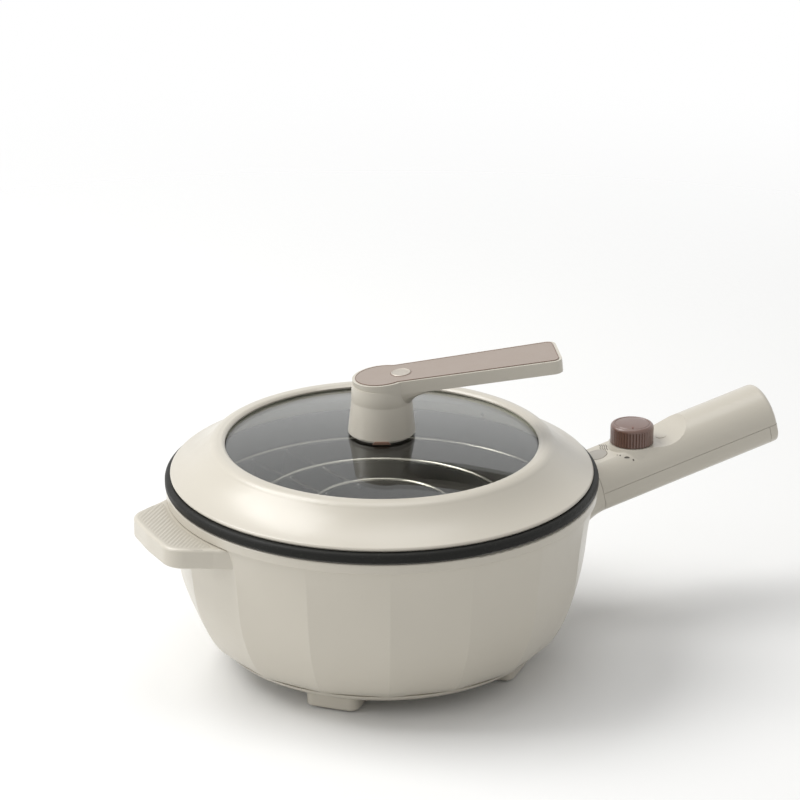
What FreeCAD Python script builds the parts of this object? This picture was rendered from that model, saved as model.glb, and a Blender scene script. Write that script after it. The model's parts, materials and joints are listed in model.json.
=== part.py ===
import FreeCAD, Part
import math
import os

import Sketcher

# Electric hot pot with a lift-off glass lid and a three-ring steam rack.
# Millimetres. The origin is on the pot's axis on the ground, +X along the long
# handle, +Z up. The lid and the rack are modelled in place, inside the pot.

V = FreeCAD.Vector
Turn = FreeCAD.Rotation
UP = V(0, 0, 1)
LEVEL = V(0, 1, 0)

SIZES = {
    # pot shell and base
    "facets": 16, "rim_radius": 135.0, "rim_low": 118.0, "rim_high": 124.3,
    "shell_low": 17.0, "base_low": 11.0, "shell_low_radius": 103.0, "base_radius": 96.7,
    "bead_radius": 134.2, "bead_low": 112.0, "bead_high": 117.3, "bead_inner": 130.6,
    "foot_circle": 80.0, "foot_width": 34.0, "foot_depth": 24.0, "pad_height": 1.4,
    # cooking pot
    "wall": 2.4, "floor_high": 42.0, "corner_radius": 25.0, "corner_high": 67.0,
    "corner_centre": 95.2, "wall_top_radius": 127.6, "wall_low_radius": 119.9,
    # long handle, in its own tilted frame
    "handle_start": 135.0, "handle_high": 92.7, "handle_tilt": 12.35,
    "grip_radius": 20.6, "seam_high": -3.7, "grip_low": -18.4, "grip_corner": 9.5,
    "neck_end": 10.0, "grip_end": 139.0, "deck_high": 13.4, "end_cap_start": 132.6,
    "seam_gap": 0.25, "boss_radius": 4.0, "screw_radius": 1.4,
    # side grip
    "tab_reach": 157.5, "tab_low": 97.5, "tab_high": 110.5, "tab_root_half": 43.0,
    "tab_end_half": 31.0, "rib_count": 19,
    # knob, switch and lamp
    "knob_place": 176.0, "knob_low": 115.0, "knob_radius": 13.8, "knob_height": 12.4,
    "rest_high": 114.6, "shaft_radius": 3.0, "lens_place": 150.6, "lens_radius": 7.0,
    # steam rack
    "rack_high": 99.5, "ring_wire": 1.6, "leg_wire": 1.35, "ring_outer": 117.9,
    "ring_middle": 78.6, "ring_inner": 43.4, "leg_drop": 36.9, "leg_angle": -16.5,
    "leg_half": 14.0, "leg_bend_place": 118.5, "leg_foot_place": 117.0, "weld": 0.1,
    # lid
    "opening_radius": 97.4, "opening_high": 144.2, "skirt_radius": 131.6,
    "skirt_low": 124.5, "plug_radius": 125.5, "plug_low": 118.8, "plug_inner": 117.5,
    "glass_radius": 102.5, "glass_top": 150.0, "glass_sphere": 669.0, "glass_thick": 4.0,
    "vent_angle": 32.0, "vent_radius": 1.2,
    # lid handle
    "arm_angle": -18.0, "arm_tilt": 6.1, "arm_high": 187.3, "arm_length": 111.0,
    "arm_thick": 8.3, "arm_root_half": 15.8, "arm_end_half": 18.5, "post_low_radius": 21.0,
    "post_high_radius": 18.4, "post_low": 150.9,
}

doc = FreeCAD.newDocument("HotPot")
sheet = doc.addObject("Spreadsheet::Sheet", "Sizes")
for row, (alias, value) in enumerate(SIZES.items(), 1):
    sheet.set("A%d" % row, alias)
    sheet.set("B%d" % row, str(value))
    sheet.setAlias("B%d" % row, alias)
doc.recompute()


class Size:
    """A number that remembers the sheet formula it comes from."""

    def __init__(self, value, formula):
        self.value = float(value)
        self.formula = formula

    def __add__(self, other):
        other = as_size(other)
        return Size(self.value + other.value, "(%s + %s)" % (self.formula, other.formula))

    def __sub__(self, other):
        other = as_size(other)
        return Size(self.value - other.value, "(%s - %s)" % (self.formula, other.formula))

    def __mul__(self, other):
        other = as_size(other)
        return Size(self.value * other.value, "(%s * %s)" % (self.formula, other.formula))

    def __neg__(self):
        return Size(-self.value, "(0 - %s)" % self.formula)

    def __radd__(self, other):
        return as_size(other) + self

    def __rsub__(self, other):
        return as_size(other) - self

    def __rmul__(self, other):
        return as_size(other) * self

    def __truediv__(self, other):
        return self * (1.0 / other)

    def __float__(self):
        return self.value


def as_size(number):
    """Wrap a plain number, so that it can stand in a formula."""
    return number if isinstance(number, Size) else Size(number, repr(float(number)))


def size(alias):
    """Read one driving size from the sheet."""
    return Size(getattr(sheet, alias), "Sizes." + alias)


def bind(thing, prop, number):
    """Set a property to a size and tie it to the sheet."""
    number = as_size(number)
    holder, _, last = prop.rpartition(".")
    if not holder and "Constraints" not in prop:
        setattr(thing, last, number.value)
    if "Sizes." in number.formula:
        thing.setExpression(prop, number.formula)


def plane_of(body, role):
    """Find one of the body's own origin planes."""
    return next(item for item in body.Origin.OriginFeatures if item.Role == role)


def new_body(label, place=None):
    body = doc.addObject("PartDesign::Body", label)
    body.Label = label
    if place:
        body.Placement = place
    return body


def new_sketch(body, name, role, lift=None):
    """Start a sketch on one of the body's planes, lifted off it if wanted."""
    sketch = body.newObject("Sketcher::SketchObject", name)
    sketch.AttachmentSupport = [(plane_of(body, role), "")]
    sketch.MapMode = "FlatFace"
    if lift is not None:
        sketch.AttachmentOffset = FreeCAD.Placement(V(0, 0, float(lift)), Turn())
        bind(sketch, "AttachmentOffset.Base.z", lift)
    return sketch


def pin_point(sketch, line, end, x, y):
    """Hold one end of a line at a place given by sheet sizes."""
    for kind, number, axis in (("DistanceX", as_size(x), -2), ("DistanceY", as_size(y), -1)):
        if abs(number.value) < 1e-9:
            sketch.addConstraint(Sketcher.Constraint("PointOnObject", line, end, axis))
            continue
        index = sketch.addConstraint(
            Sketcher.Constraint(kind, -1, 1, line, end, number.value))
        bind(sketch, "Constraints[%d]" % index, number)


def arc_between(start, end, radius):
    """The shorter arc from start to end. Its centre is on the left if radius > 0."""
    middle = (start + end) * 0.5
    along = end - start
    left = V(-along.y, along.x, 0).normalize()
    rise = math.sqrt(max(radius ** 2 - (along.Length / 2) ** 2, 0.0))
    centre = middle + left * math.copysign(rise, radius)
    first, last = (start, end) if radius > 0 else (end, start)
    angles = [math.atan2(p.y - centre.y, p.x - centre.x) for p in (first, last)]
    circle = Part.Circle(centre, UP, abs(radius))
    return Part.ArcOfCircle(circle, angles[0], angles[1])


def outline(body, name, role, points, lift=None):
    """Draw a closed outline. Each point is (x, y), reached by a straight side, or
    (x, y, radius), reached by a round one whose centre is on the left if radius > 0."""
    sketch = new_sketch(body, name, role, lift)
    ends = []
    for number, point in enumerate(points):
        before = points[number - 1]
        start = V(float(before[0]), float(before[1]), 0)
        end = V(float(point[0]), float(point[1]), 0)
        if len(point) == 3:
            radius = as_size(point[2])
            line = sketch.addGeometry(arc_between(start, end, radius.value), False)
            ends.append((line, 2, 1) if radius.value > 0 else (line, 1, 2))
        else:
            line = sketch.addGeometry(Part.LineSegment(start, end), False)
            ends.append((line, 2, 1))
    for number, (line, end, _) in enumerate(ends):
        following, _, start = ends[(number + 1) % len(ends)]
        sketch.addConstraint(Sketcher.Constraint("Coincident", line, end, following, start))
    for (line, end, _), point in zip(ends, points):
        pin_point(sketch, line, end, point[0], point[1])
        if len(point) == 3:
            reach = as_size(point[2])
            reach = reach if reach.value > 0 else -reach
            index = sketch.addConstraint(Sketcher.Constraint("Radius", line, reach.value))
            bind(sketch, "Constraints[%d]" % index, reach)
    doc.recompute()
    return sketch


def soft(corners):
    """Round the corners of a polygon. A corner is (x, y) if sharp, (x, y, radius) if not."""
    points = []
    for number, corner in enumerate(corners):
        here = V(float(corner[0]), float(corner[1]), 0)
        if len(corner) == 2:
            points.append((here.x, here.y))
            continue
        before = corners[number - 1]
        after = corners[(number + 1) % len(corners)]
        back = (V(float(before[0]), float(before[1]), 0) - here).normalize()
        ahead = (V(float(after[0]), float(after[1]), 0) - here).normalize()
        reach = corner[2] / math.tan(back.getAngle(ahead) / 2)
        enter = here + back * reach
        leave = here + ahead * reach
        side = 1.0 if ahead.cross(back).z > 0 else -1.0
        points.append((enter.x, enter.y))
        points.append((leave.x, leave.y, corner[2] * side))
    return points


def disc(body, name, role, x, y, radius, lift=None):
    """Draw one circle."""
    sketch = new_sketch(body, name, role, lift)
    ring = Part.Circle(V(float(x), float(y), 0), UP, float(radius))
    line = sketch.addGeometry(ring, False)
    pin_point(sketch, line, 3, x, y)
    index = sketch.addConstraint(Sketcher.Constraint("Radius", line, float(radius)))
    bind(sketch, "Constraints[%d]" % index, radius)
    doc.recompute()
    return sketch


def feature(body, kind, name, sketch):
    """Add a feature and check that it did change the solid the right way."""
    before = body.Shape.Volume if body.Shape and not body.Shape.isNull() else 0.0
    made = body.newObject("PartDesign::" + kind, name)
    made.Profile = sketch
    return made, before


def settle(body, made, before, removes):
    """Recompute, and stop if a cut took nothing away or a pad added nothing."""
    doc.recompute()
    change = body.Shape.Volume - before
    if (change >= 0) if removes else (change <= 0):
        raise ValueError("%s of %s changes nothing" % (made.Name, body.Label))
    return made


def turned(body, name, points, angle=360.0, removes=False):
    """Revolve an outline in the XZ plane about the body's vertical axis."""
    sketch = outline(body, name + "_profile", "XZ_Plane", points)
    kind = "Groove" if removes else "Revolution"
    made, before = feature(body, kind, name, sketch)
    made.ReferenceAxis = (sketch, ["V_Axis"])
    made.Angle = angle
    return settle(body, made, before, removes)


def pushed(body, name, sketch, length, removes=False, both=False, back=False):
    """Pad or pocket a sketch."""
    made, before = feature(body, "Pocket" if removes else "Pad", name, sketch)
    bind(made, "Length", length)
    made.SideType = "Symmetric" if both else "One side"
    made.Reversed = back
    return settle(body, made, before, removes)


def rounded(body, name, radius, test):
    """Fillet the edges of the body that pass a test."""
    edges = ["Edge%d" % n for n, edge in enumerate(body.Shape.Edges, 1) if test(edge)]
    if not edges:
        raise ValueError("no edge for %s of %s" % (name, body.Label))
    base = body.Tip
    made = body.newObject("PartDesign::Fillet", name)
    made.Base = (base, edges)
    bind(made, "Radius", radius)
    doc.recompute()
    return made


def repeated(body, name, first, sketch, axis, count):
    """Repeat a feature round one of its sketch's axes."""
    made = body.newObject("PartDesign::PolarPattern", name)
    made.Originals = [first]
    made.Axis = (sketch, [axis])
    made.Angle = 360.0
    made.Occurrences = count
    body.Tip = made
    doc.recompute()
    return made


def solid(kind, label, place=None, **numbers):
    """Add a Part primitive with its sizes tied to the sheet."""
    made = doc.addObject("Part::" + kind, label)
    made.Label = label
    for prop, number in numbers.items():
        bind(made, prop, number)
    if place:
        made.Placement = place
    return made


def joined(label, first, *others):
    """Fuse objects into one solid."""
    made = doc.addObject("Part::MultiFuse", label)
    made.Label = label
    made.Shapes = [first, *others]
    made.Refine = True
    doc.recompute()
    return made


def less(label, base, tool):
    """Cut one object from another."""
    made = doc.addObject("Part::Cut", label)
    made.Label = label
    made.Base = base
    made.Tool = tool
    doc.recompute()
    return made


def at(x, y, z, axis=UP, angle=0.0):
    """A placement at a point, turned about an axis."""
    return FreeCAD.Placement(V(float(x), float(y), float(z)), Turn(axis, float(angle)))


def is_level_at(height):
    """A test for edges that lie at one height."""
    def test(edge):
        box = edge.BoundBox
        return max(abs(box.ZMin - float(height)), abs(box.ZMax - float(height))) < 0.01
    return test


# Frames that several pieces share
HANDLE = at(size("handle_start"), 0, size("handle_high"), LEVEL, -float(size("handle_tilt")))
ARM = at(0, 0, 0, UP, size("arm_angle"))


def handle_frame_lift(along, high):
    """A placement in the long handle's frame, at a place along it and above its middle."""
    return HANDLE.multiply(at(along, 0, high))


# Height, corner radius, and how round the facets are: the radius of each side of
# the sixteen-sided section is this many times its corner radius.
SHELL_LEVELS = (
    (17.0, 103.0, 3.0), (26.0, 112.6, 5.0), (38.0, 119.2, 6.0), (53.0, 124.7, 6.0),
    (73.0, 128.1, 4.0), (98.0, 130.9, 1.6), (112.0, 133.0, 1.0),
)
SHELL_HOLLOW = (
    (26.0, 108.0), (38.0, 114.6), (53.0, 120.4), (62.0, 122.4), (73.0, 124.0),
    (98.0, 127.8), (112.0, 130.5),
)


# Where the heater's two posts stand, in the gap of its horseshoe
POST_ANGLES = (-8.0, -42.0)

# Where the handle's two screws stand, along it
SCREW_PLACES = (66.0, 104.0)


def facet_ring(body, number, high, corner, roundness):
    """One section of the shell: sixteen sides between corners on a circle."""
    count = int(sheet.facets)
    points = []
    for corner_number in range(count):
        angle = math.radians(360.0 / count * corner_number)
        points.append((corner * math.cos(angle), corner * math.sin(angle),
                       corner * roundness))
    return outline(body, "ring_%d" % number, "XY_Plane", points, lift=high)


def lofted(body, name, sections):
    made = body.newObject("PartDesign::AdditiveLoft", name)
    made.Profile = sections[0]
    made.Sections = sections[1:]
    doc.recompute()
    return made


def grip_section(body, name, place, wider=0.0):
    """The long handle's section: a half-round top on a flat-bottomed lower half."""
    radius = size("grip_radius") + wider
    seam = size("seam_high")
    low = size("grip_low") - wider
    corner = size("grip_corner")
    points = [
        (radius, seam),
        (0, seam + radius, radius),
        (-radius, seam, radius),
        (-radius, low + corner),
        (corner - radius, low, corner),
        (radius - corner, low),
        (radius, low + corner, corner),
    ]
    return outline(body, name, "YZ_Plane", points, lift=place)


def make_outer_shell():
    """The moulded shell: a sixteen-sided bowl, its rim bead, the side grip and the
    neck that the long handle plugs on to."""
    blank = new_body("shell_blank")
    rings = [facet_ring(blank, n, *level) for n, level in enumerate(SHELL_LEVELS)]
    lofted(blank, "bowl", rings)
    turned(blank, "bead", [
        (120.0, size("bead_low") - 1.0), (size("bead_radius") - 0.5, size("bead_low") - 1.0),
        (size("bead_radius"), size("bead_low") - 0.5, 0.5),
        (size("bead_radius"), size("bead_high") - 1.0),
        (size("bead_radius") - 1.0, size("bead_high"), 1.0),
        (120.0, size("bead_high")),
    ])
    neck = new_body("neck_blank", HANDLE)
    lofted(neck, "neck", [
        grip_section(neck, "neck_root", -14.0, 7.0),
        grip_section(neck, "neck_flare", -1.0, 1.6),
        grip_section(neck, "neck_seam", size("neck_end"), 0.0),
    ])

    hollow = new_body("shell_hollow")
    wall = [(radius, high) for high, radius in SHELL_HOLLOW]
    turned(hollow, "space", [(0, 10.0), (99.6, 10.0), (99.6, 20.0), *wall,
                             (size("bead_inner"), 130.0), (0, 130.0)])
    along = handle_frame_lift(-30.0, -6.0).multiply(at(0, 0, 0, LEVEL, 90.0))
    passage = solid("Cylinder", "wire_passage", along, Radius=5.0, Height=60.0)
    whole = joined("shell_whole", blank, neck, make_spigot(), make_side_grip())
    opened = less("shell_open", whole, hollow)
    shell = less("shell_passage", opened, passage)
    joined("outer_shell", shell, grip_ribs())


def make_side_grip():
    """The side grip's block, with a sunk panel for its ribs."""
    reach = size("tab_reach")
    body = new_body("grip_blank")
    plan = outline(body, "grip_outline", "XY_Plane",
                   soft(grip_corners(float(reach), 0.0)), lift=size("tab_low"))
    pushed(body, "side_grip", plan, size("tab_high") - size("tab_low"))
    rounded(body, "grip_edges", 2.0, lambda edge: edge.BoundBox.XMax < -119.0
            and edge.BoundBox.XLength > 0.1
            and (is_level_at(sheet.tab_low)(edge) or is_level_at(sheet.tab_high)(edge)))
    panel = outline(body, "panel_outline", "XY_Plane",
                    soft(grip_corners(float(reach) - 3.8, 3.8)[1:-1]),
                    lift=size("tab_high"))
    pushed(body, "panel", panel, 0.8, removes=True)
    return body


def grip_corners(reach, inset):
    """The side grip's plan as a polygon with round corners."""
    root = float(sheet.tab_root_half) - inset
    end = float(sheet.tab_end_half) - inset
    start = -132.0 - 1.6 * inset
    return [
        (-120.0, root + 7.0), (start, root, 8.0) if not inset else (start, root),
        (1.5 - reach, end, 15.0 - inset), (-reach, 0.0, 60.0),
        (1.5 - reach, -end, 15.0 - inset),
        (start, -root, 8.0) if not inset else (start, -root), (-120.0, -root - 7.0),
    ]


def make_spigot():
    """The plug on the neck's end that the two handle halves close round."""
    body = new_body("spigot_blank", HANDLE)
    face = outline(body, "spigot_face", "YZ_Plane", [
        (12.0, -13.0), (12.0, 6.0), (-12.0, 6.0), (-12.0, -13.0)],
        lift=size("neck_end") - 2.0)
    pushed(body, "spigot", face, 7.5)
    return body


def grip_ribs():
    """The slanting ribs in the side grip's panel."""
    count = int(sheet.rib_count)
    body = new_body("grip_ribs")
    low = size("tab_high") - 1.2
    half = 0.45
    for number in range(count):
        middle = 66.0 * (number / (count - 1.0) - 0.5)
        ends = rib_ends(middle)
        if not ends:
            continue
        (x1, y1), (x2, y2) = ends
        side = half * math.sqrt(0.5)
        bar = outline(body, "rib_%d_outline" % number, "XY_Plane", [
            (x1 - side, y1 - side), (x2 - side, y2 - side), (x2 + side, y2 + side),
            (x1 + side, y1 + side)], lift=low)
        pushed(body, "rib_%d" % number, bar, 0.8)
    return body


def rib_ends(middle):
    """Where a rib at 45 degrees starts and stops inside the panel."""
    inside = [step for step in range(-80, 81) if in_panel(-147.0 + step * 0.5,
                                                          middle - step * 0.5)]
    if len(inside) < 8:
        return None
    first, last = inside[0] * 0.5, inside[-1] * 0.5
    return (-147.0 + first, middle - first), (-147.0 + last, middle - last)


def in_panel(x, y):
    """Whether a point lies well inside the side grip's panel."""
    reach = float(sheet.tab_reach) - 5.5
    half = float(sheet.tab_root_half) - 5.5 - 0.45 * (-138.0 - x)
    corner = math.hypot(max(0.0, -x - reach + 12.0), max(0.0, abs(y) - half + 12.0))
    return -reach < x < -139.0 and abs(y) < half and corner < 12.0


def make_base_cover():
    """The moulded base with its four feet and a ring of air slots."""
    low = size("base_low")
    high = size("shell_low")
    body = new_body("base_cover")
    turned(body, "dish", [
        (0, low), (size("base_radius") - 4.0, low), (size("base_radius"), low + 1.2, 4.5),
        (size("shell_low_radius") - 0.2, high, 12.0), (99.2, high), (99.2, high + 4.0),
        (97.2, high + 4.0), (97.2, high), (92.0, low + 2.4), (0, low + 2.4),
    ])
    for number in range(4):
        foot = outline(body, "foot_%d_outline" % number, "XY_Plane",
                       block_corners(size("foot_width") / 2, size("foot_depth") / 2, 6.0,
                                     45.0 + 90.0 * number), lift=size("pad_height"))
        pushed(body, "foot_%d" % number, foot, low + 0.5 - size("pad_height"))
    rounded(body, "foot_edges", 1.6, is_level_at(sheet.pad_height))
    slot = outline(body, "slot_outline", "XY_Plane", [
        (52.0, -1.6), (52.0, 1.6, 1.7), (30.0, 1.6), (30.0, -1.6, 1.7)], lift=low - 1.0)
    first = pushed(body, "slot", slot, 6.0, removes=True, back=True)
    repeated(body, "slots", first, slot, "N_Axis", 16)


def block_corners(half_width, half_depth, corner, turn):
    """A block with round corners, across the pot's radius at an angle in degrees."""
    centre = float(sheet.foot_circle)
    width, depth = float(half_width), float(half_depth)
    local = [
        (depth - corner, -width), (depth, corner - width, corner), (depth, width - corner),
        (depth - corner, width, corner), (corner - depth, width),
        (-depth, width - corner, corner), (-depth, corner - width),
        (corner - depth, -width, corner),
    ]
    angle = math.radians(turn)
    points = []
    for x, y, *radius in local:
        x = x + centre
        points.append((x * math.cos(angle) - y * math.sin(angle),
                       x * math.sin(angle) + y * math.cos(angle), *radius))
    return points


def make_foot_pads():
    """A rubber pad under each foot."""
    for number in range(4):
        body = new_body("foot_pad_%d" % (number + 1))
        face = outline(body, "pad_%d_outline" % number, "XY_Plane",
                       block_corners(size("foot_width") / 2 - 3.5, size("foot_depth") / 2 - 3.5,
                                     4.0, 45.0 + 90.0 * number))
        pushed(body, "pad_%d" % number, face, size("pad_height"))


def make_inner_pot():
    """The coated cooking pot: a spun bowl with a rolled rim."""
    rim = size("rim_radius")
    low, high = size("rim_low"), size("rim_high")
    wall = size("wall")
    floor = size("floor_high")
    corner = size("corner_radius")
    body = new_body("inner_pot")
    turned(body, "bowl", [
        (0, floor - wall), (size("corner_centre"), floor - wall),
        (size("wall_low_radius") + wall, size("corner_high"), corner + wall + 0.3),
        (size("wall_top_radius") + wall, low),
        (rim - 1.6, low), (rim, low + 1.6, 1.6), (rim, high - 2.6),
        (rim - 2.6, high, 2.6), (rim - 5.0, high), (size("wall_top_radius") + 0.3, low + 2.6, 4.2),
        (size("wall_top_radius"), low), (size("wall_low_radius"), size("corner_high")),
        (size("corner_centre"), floor, -corner - 0.3), (0, floor),
    ])


def make_rim_gasket():
    """The soft ring between the pot's rim and the shell's bead."""
    high = size("rim_low")
    body = new_body("rim_gasket")
    turned(body, "ring", [
        (130.9, size("bead_high")), (132.9, size("bead_high")), (132.9, high),
        (130.9, high)])


def make_heater():
    """The cast plate with its horseshoe element, the posts and their insulators."""
    top = size("floor_high") - size("wall")
    plate = new_body("heating_plate")
    turned(plate, "disc", [(0, top - 4.0), (84.0, top - 4.0), (85.0, top - 3.0, 1.0),
                           (85.0, top), (0, top)])
    turned(plate, "element", [(57.5, top - 3.5), (57.5, top - 6.0), (66.5, top - 6.0, 4.6),
                              (66.5, top - 3.5)], angle=310.0)
    pins = new_body("heater_pins")
    caps = new_body("heater_insulators")
    for number, angle in enumerate(POST_ANGLES):
        x = 62.0 * math.cos(math.radians(angle))
        y = 62.0 * math.sin(math.radians(angle))
        post = disc(pins, "post_%d_outline" % number, "XY_Plane", x, y, 2.0, lift=top - 22.0)
        pushed(pins, "post_%d" % number, post, 18.0)
        ring = disc(caps, "cap_%d_outline" % number, "XY_Plane", x, y, 4.0, lift=top - 11.0)
        pushed(caps, "cap_%d" % number, ring, 6.0)
        bore = disc(caps, "bore_%d_outline" % number, "XY_Plane", x, y, 2.0, lift=top - 12.0)
        pushed(caps, "bore_%d" % number, bore, 8.0, removes=True, back=True)


def make_heat_shield():
    """The pressed steel dish under the heater, with holes for posts and sensor."""
    body = new_body("heat_shield")
    turned(body, "dish", [
        (0, 24.0), (88.0, 24.0), (92.0, 28.0, 4.0), (92.0, 33.0), (96.0, 33.0), (96.0, 34.0),
        (91.0, 34.0), (91.0, 28.0), (88.0, 25.0, -3.0), (0, 25.0)])
    for number, (x, y, radius) in enumerate(shield_holes()):
        hole = disc(body, "hole_%d_outline" % number, "XY_Plane", x, y, radius, lift=22.0)
        pushed(body, "hole_%d" % number, hole, 6.0, removes=True, back=True)


def shield_holes():
    """The holes in the heat shield: sensor, two heater posts, three spacers."""
    holes = [(0.0, 0.0, 14.5)]
    for angle in POST_ANGLES:
        holes.append((62.0 * math.cos(math.radians(angle)),
                      62.0 * math.sin(math.radians(angle)), 5.0))
    return holes


def make_sensor():
    """The thermostat pressed against the plate's middle, and the thermal fuse."""
    top = size("floor_high") - size("wall") - 4.0
    body = new_body("thermostat")
    turned(body, "can", [
        (0, top - 17.0), (9.0, top - 17.0), (9.0, top - 8.0), (13.0, top - 8.0),
        (13.0, top - 2.0), (11.0, top), (0, top)])
    blades = outline(body, "blade_outline", "XY_Plane", [
        (-7.0, -3.0), (-5.5, -3.0), (-5.5, 3.0), (-7.0, 3.0)], lift=top - 22.0)
    pushed(body, "blade", blades, 6.0)
    fuse = new_body("thermal_fuse")
    face = disc(fuse, "fuse_outline", "XZ_Plane", 30.0, 27.6, 2.6)
    pushed(fuse, "sleeve", face, 22.0, both=True)


def make_spacers():
    """Three posts that hold the shield off the plate, and the base screws."""
    top = size("floor_high") - size("wall") - 4.0
    spacers = new_body("shield_spacers")
    screws = new_body("base_screws")
    for number in range(3):
        angle = math.radians(60.0 + 120.0 * number)
        x, y = 78.0 * math.cos(angle), 78.0 * math.sin(angle)
        post = disc(spacers, "spacer_%d_outline" % number, "XY_Plane", x, y, 3.0, lift=25.0)
        pushed(spacers, "spacer_%d" % number, post, top - 25.0)
        head = disc(screws, "head_%d_outline" % number, "XY_Plane", x, y, 3.6,
                    lift=size("base_low") + 2.4)
        pushed(screws, "head_%d" % number, head, 2.0)
        stem = disc(screws, "stem_%d_outline" % number, "XY_Plane", x, y, 1.6,
                    lift=size("base_low") + 2.4)
        pushed(screws, "stem_%d" % number, stem, 24.0 - 13.4)


def crown_cut(body, name):
    """The flat deck in front of the knob and the hollow that rises behind it."""
    deck = size("deck_high")
    first = in_handle(171.3, sheet.rest_high)
    second = in_handle(191.0, sheet.rest_high)
    third = in_handle(212.6, 127.4)
    sketch = outline(body, name + "_profile", "XZ_Plane", [
        (-4.0, 30.0), (-4.0, deck), (first[0], deck), second, (*third, 26.0),
        (third[0], 30.0)])
    pushed(body, name, sketch, 60.0, removes=True, both=True)


def on_handle_end(edge):
    """Whether an edge lies round the handle's end face, off its seam."""
    spot = HANDLE.inverse().multVec(edge.CenterOfMass)
    return abs(spot.x - sheet.grip_end) < 0.05 and abs(spot.z - sheet.seam_high) > 0.4


def in_handle(x, z):
    """A world place in the long handle's tilted frame."""
    spot = HANDLE.inverse().multVec(V(float(x), 0, float(z)))
    return spot.x, spot.z


def make_handle_upper():
    """The handle's upper half: half round, with a deck, the knob's seat and a bore."""
    radius = size("grip_radius")
    seam = size("seam_high")
    body = new_body("handle_top_blank", HANDLE)
    face = outline(body, "top_face", "YZ_Plane", [
        (radius, seam), (0, seam + radius, radius), (-radius, seam, radius)],
        lift=size("neck_end") + size("seam_gap"))
    pushed(body, "top", face, size("grip_end") - size("neck_end") - size("seam_gap"))
    rounded(body, "end_edge", 3.0, on_handle_end)
    crown_cut(body, "deck")
    space = outline(body, "top_space", "YZ_Plane", [
        (13.6, seam), (13.6, 4.0), (9.6, 8.0, 4.0), (-9.6, 8.0), (-13.6, 4.0, 4.0),
        (-13.6, seam)], lift=size("neck_end"))
    pushed(body, "top_hollow", space, 122.6, removes=True, back=True)
    low = size("rest_high") - 9.2
    seat = solid("Cone", "knob_seat", at(size("knob_place"), 0, low), Radius1=19.0,
                 Radius2=14.9, Height=9.2)
    bosses = [solid("Cylinder", "top_boss_%d" % number, handle_frame_lift(place, seam),
                    Radius=size("boss_radius"), Height=13.0)
              for number, place in enumerate(SCREW_PLACES)]
    whole = joined("handle_top_whole", body, seat, *bosses)
    bore = solid("Cylinder", "switch_bore", at(size("knob_place"), 0, 90.0), Radius=4.6,
                 Height=40.0)
    bored = less("handle_top_bored", whole, bore)
    place = in_handle(size("lens_place"), 110.6)
    lens = solid("Cylinder", "lens_seat", handle_frame_lift(place[0], size("deck_high") - 2.6),
                 Radius=size("lens_radius") + 0.1, Height=10.0)
    opened = less("handle_top_open", bored, lens)
    lamp = solid("Cylinder", "lamp_hole", handle_frame_lift(place[0], 4.0), Radius=3.2,
                 Height=12.0)
    step = less("handle_top_lit", opened, lamp)
    for number, place in enumerate(SCREW_PLACES):
        thread = solid("Cylinder", "thread_%d" % number, handle_frame_lift(place, seam - 1.0),
                       Radius=size("screw_radius"), Height=11.0)
        label = "handle_upper" if number else "handle_top_threaded"
        step = less(label, step, thread)


def make_handle_lower():
    """The handle's lower half: a trough with screw bosses and a mouth for the inlet."""
    seam = size("seam_high")
    low = size("grip_low")
    body = new_body("handle_low_blank", HANDLE)
    start = size("neck_end") + size("seam_gap")
    face = outline(body, "low_face", "YZ_Plane", low_section(), lift=start)
    pushed(body, "low", face, size("end_cap_start") - start)
    space = outline(body, "low_space", "YZ_Plane", [
        (-15.0, seam), (-15.0, low + 7.0), (-10.6, low + 2.6, 4.4), (10.6, low + 2.6),
        (15.0, low + 7.0, 4.4), (15.0, seam)], lift=size("neck_end"))
    pushed(body, "low_hollow", space, 130.0, removes=True, back=True)
    posts = [solid("Cylinder", "low_boss_%d" % number, handle_frame_lift(place, low + 1.0),
                   Radius=size("boss_radius"), Height=seam - low - 1.0)
             for number, place in enumerate(SCREW_PLACES)]
    step = joined("handle_low_whole", body, *posts)
    for number, place in enumerate(SCREW_PLACES):
        well = solid("Cylinder", "well_%d" % number, handle_frame_lift(place, low - 1.0),
                     Radius=2.7, Height=6.0)
        step = less("handle_low_%d" % number, step, well)
        pilot = solid("Cylinder", "pilot_%d" % number, handle_frame_lift(place, low),
                      Radius=size("screw_radius") + 0.1, Height=20.0)
        label = "handle_lower" if number else "handle_low_pilot"
        step = less(label, step, pilot)


def low_section():
    """The outline of the handle's lower half, just short of the seam."""
    radius = size("grip_radius")
    low = size("grip_low")
    corner = size("grip_corner")
    top = size("seam_high") - size("seam_gap")
    return [
        (-radius, top), (-radius, low + corner), (corner - radius, low, corner),
        (radius - corner, low), (radius, low + corner, corner), (radius, top)]


def make_end_cap():
    """The lower half's end piece, which holds the mains inlet."""
    start = size("end_cap_start") + size("seam_gap")
    body = new_body("handle_end_cap", HANDLE)
    face = outline(body, "cap_face", "YZ_Plane", low_section(), lift=start)
    pushed(body, "cap", face, size("grip_end") - start)
    rounded(body, "cap_edge", 2.4, on_handle_end)
    mouth = outline(body, "mouth_face", "YZ_Plane", [
        (9.0, -5.2), (-9.0, -5.2), (-9.0, -13.2), (9.0, -13.2)], lift=start - 1.0)
    pushed(body, "mouth", mouth, 12.0, removes=True, back=True)


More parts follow.
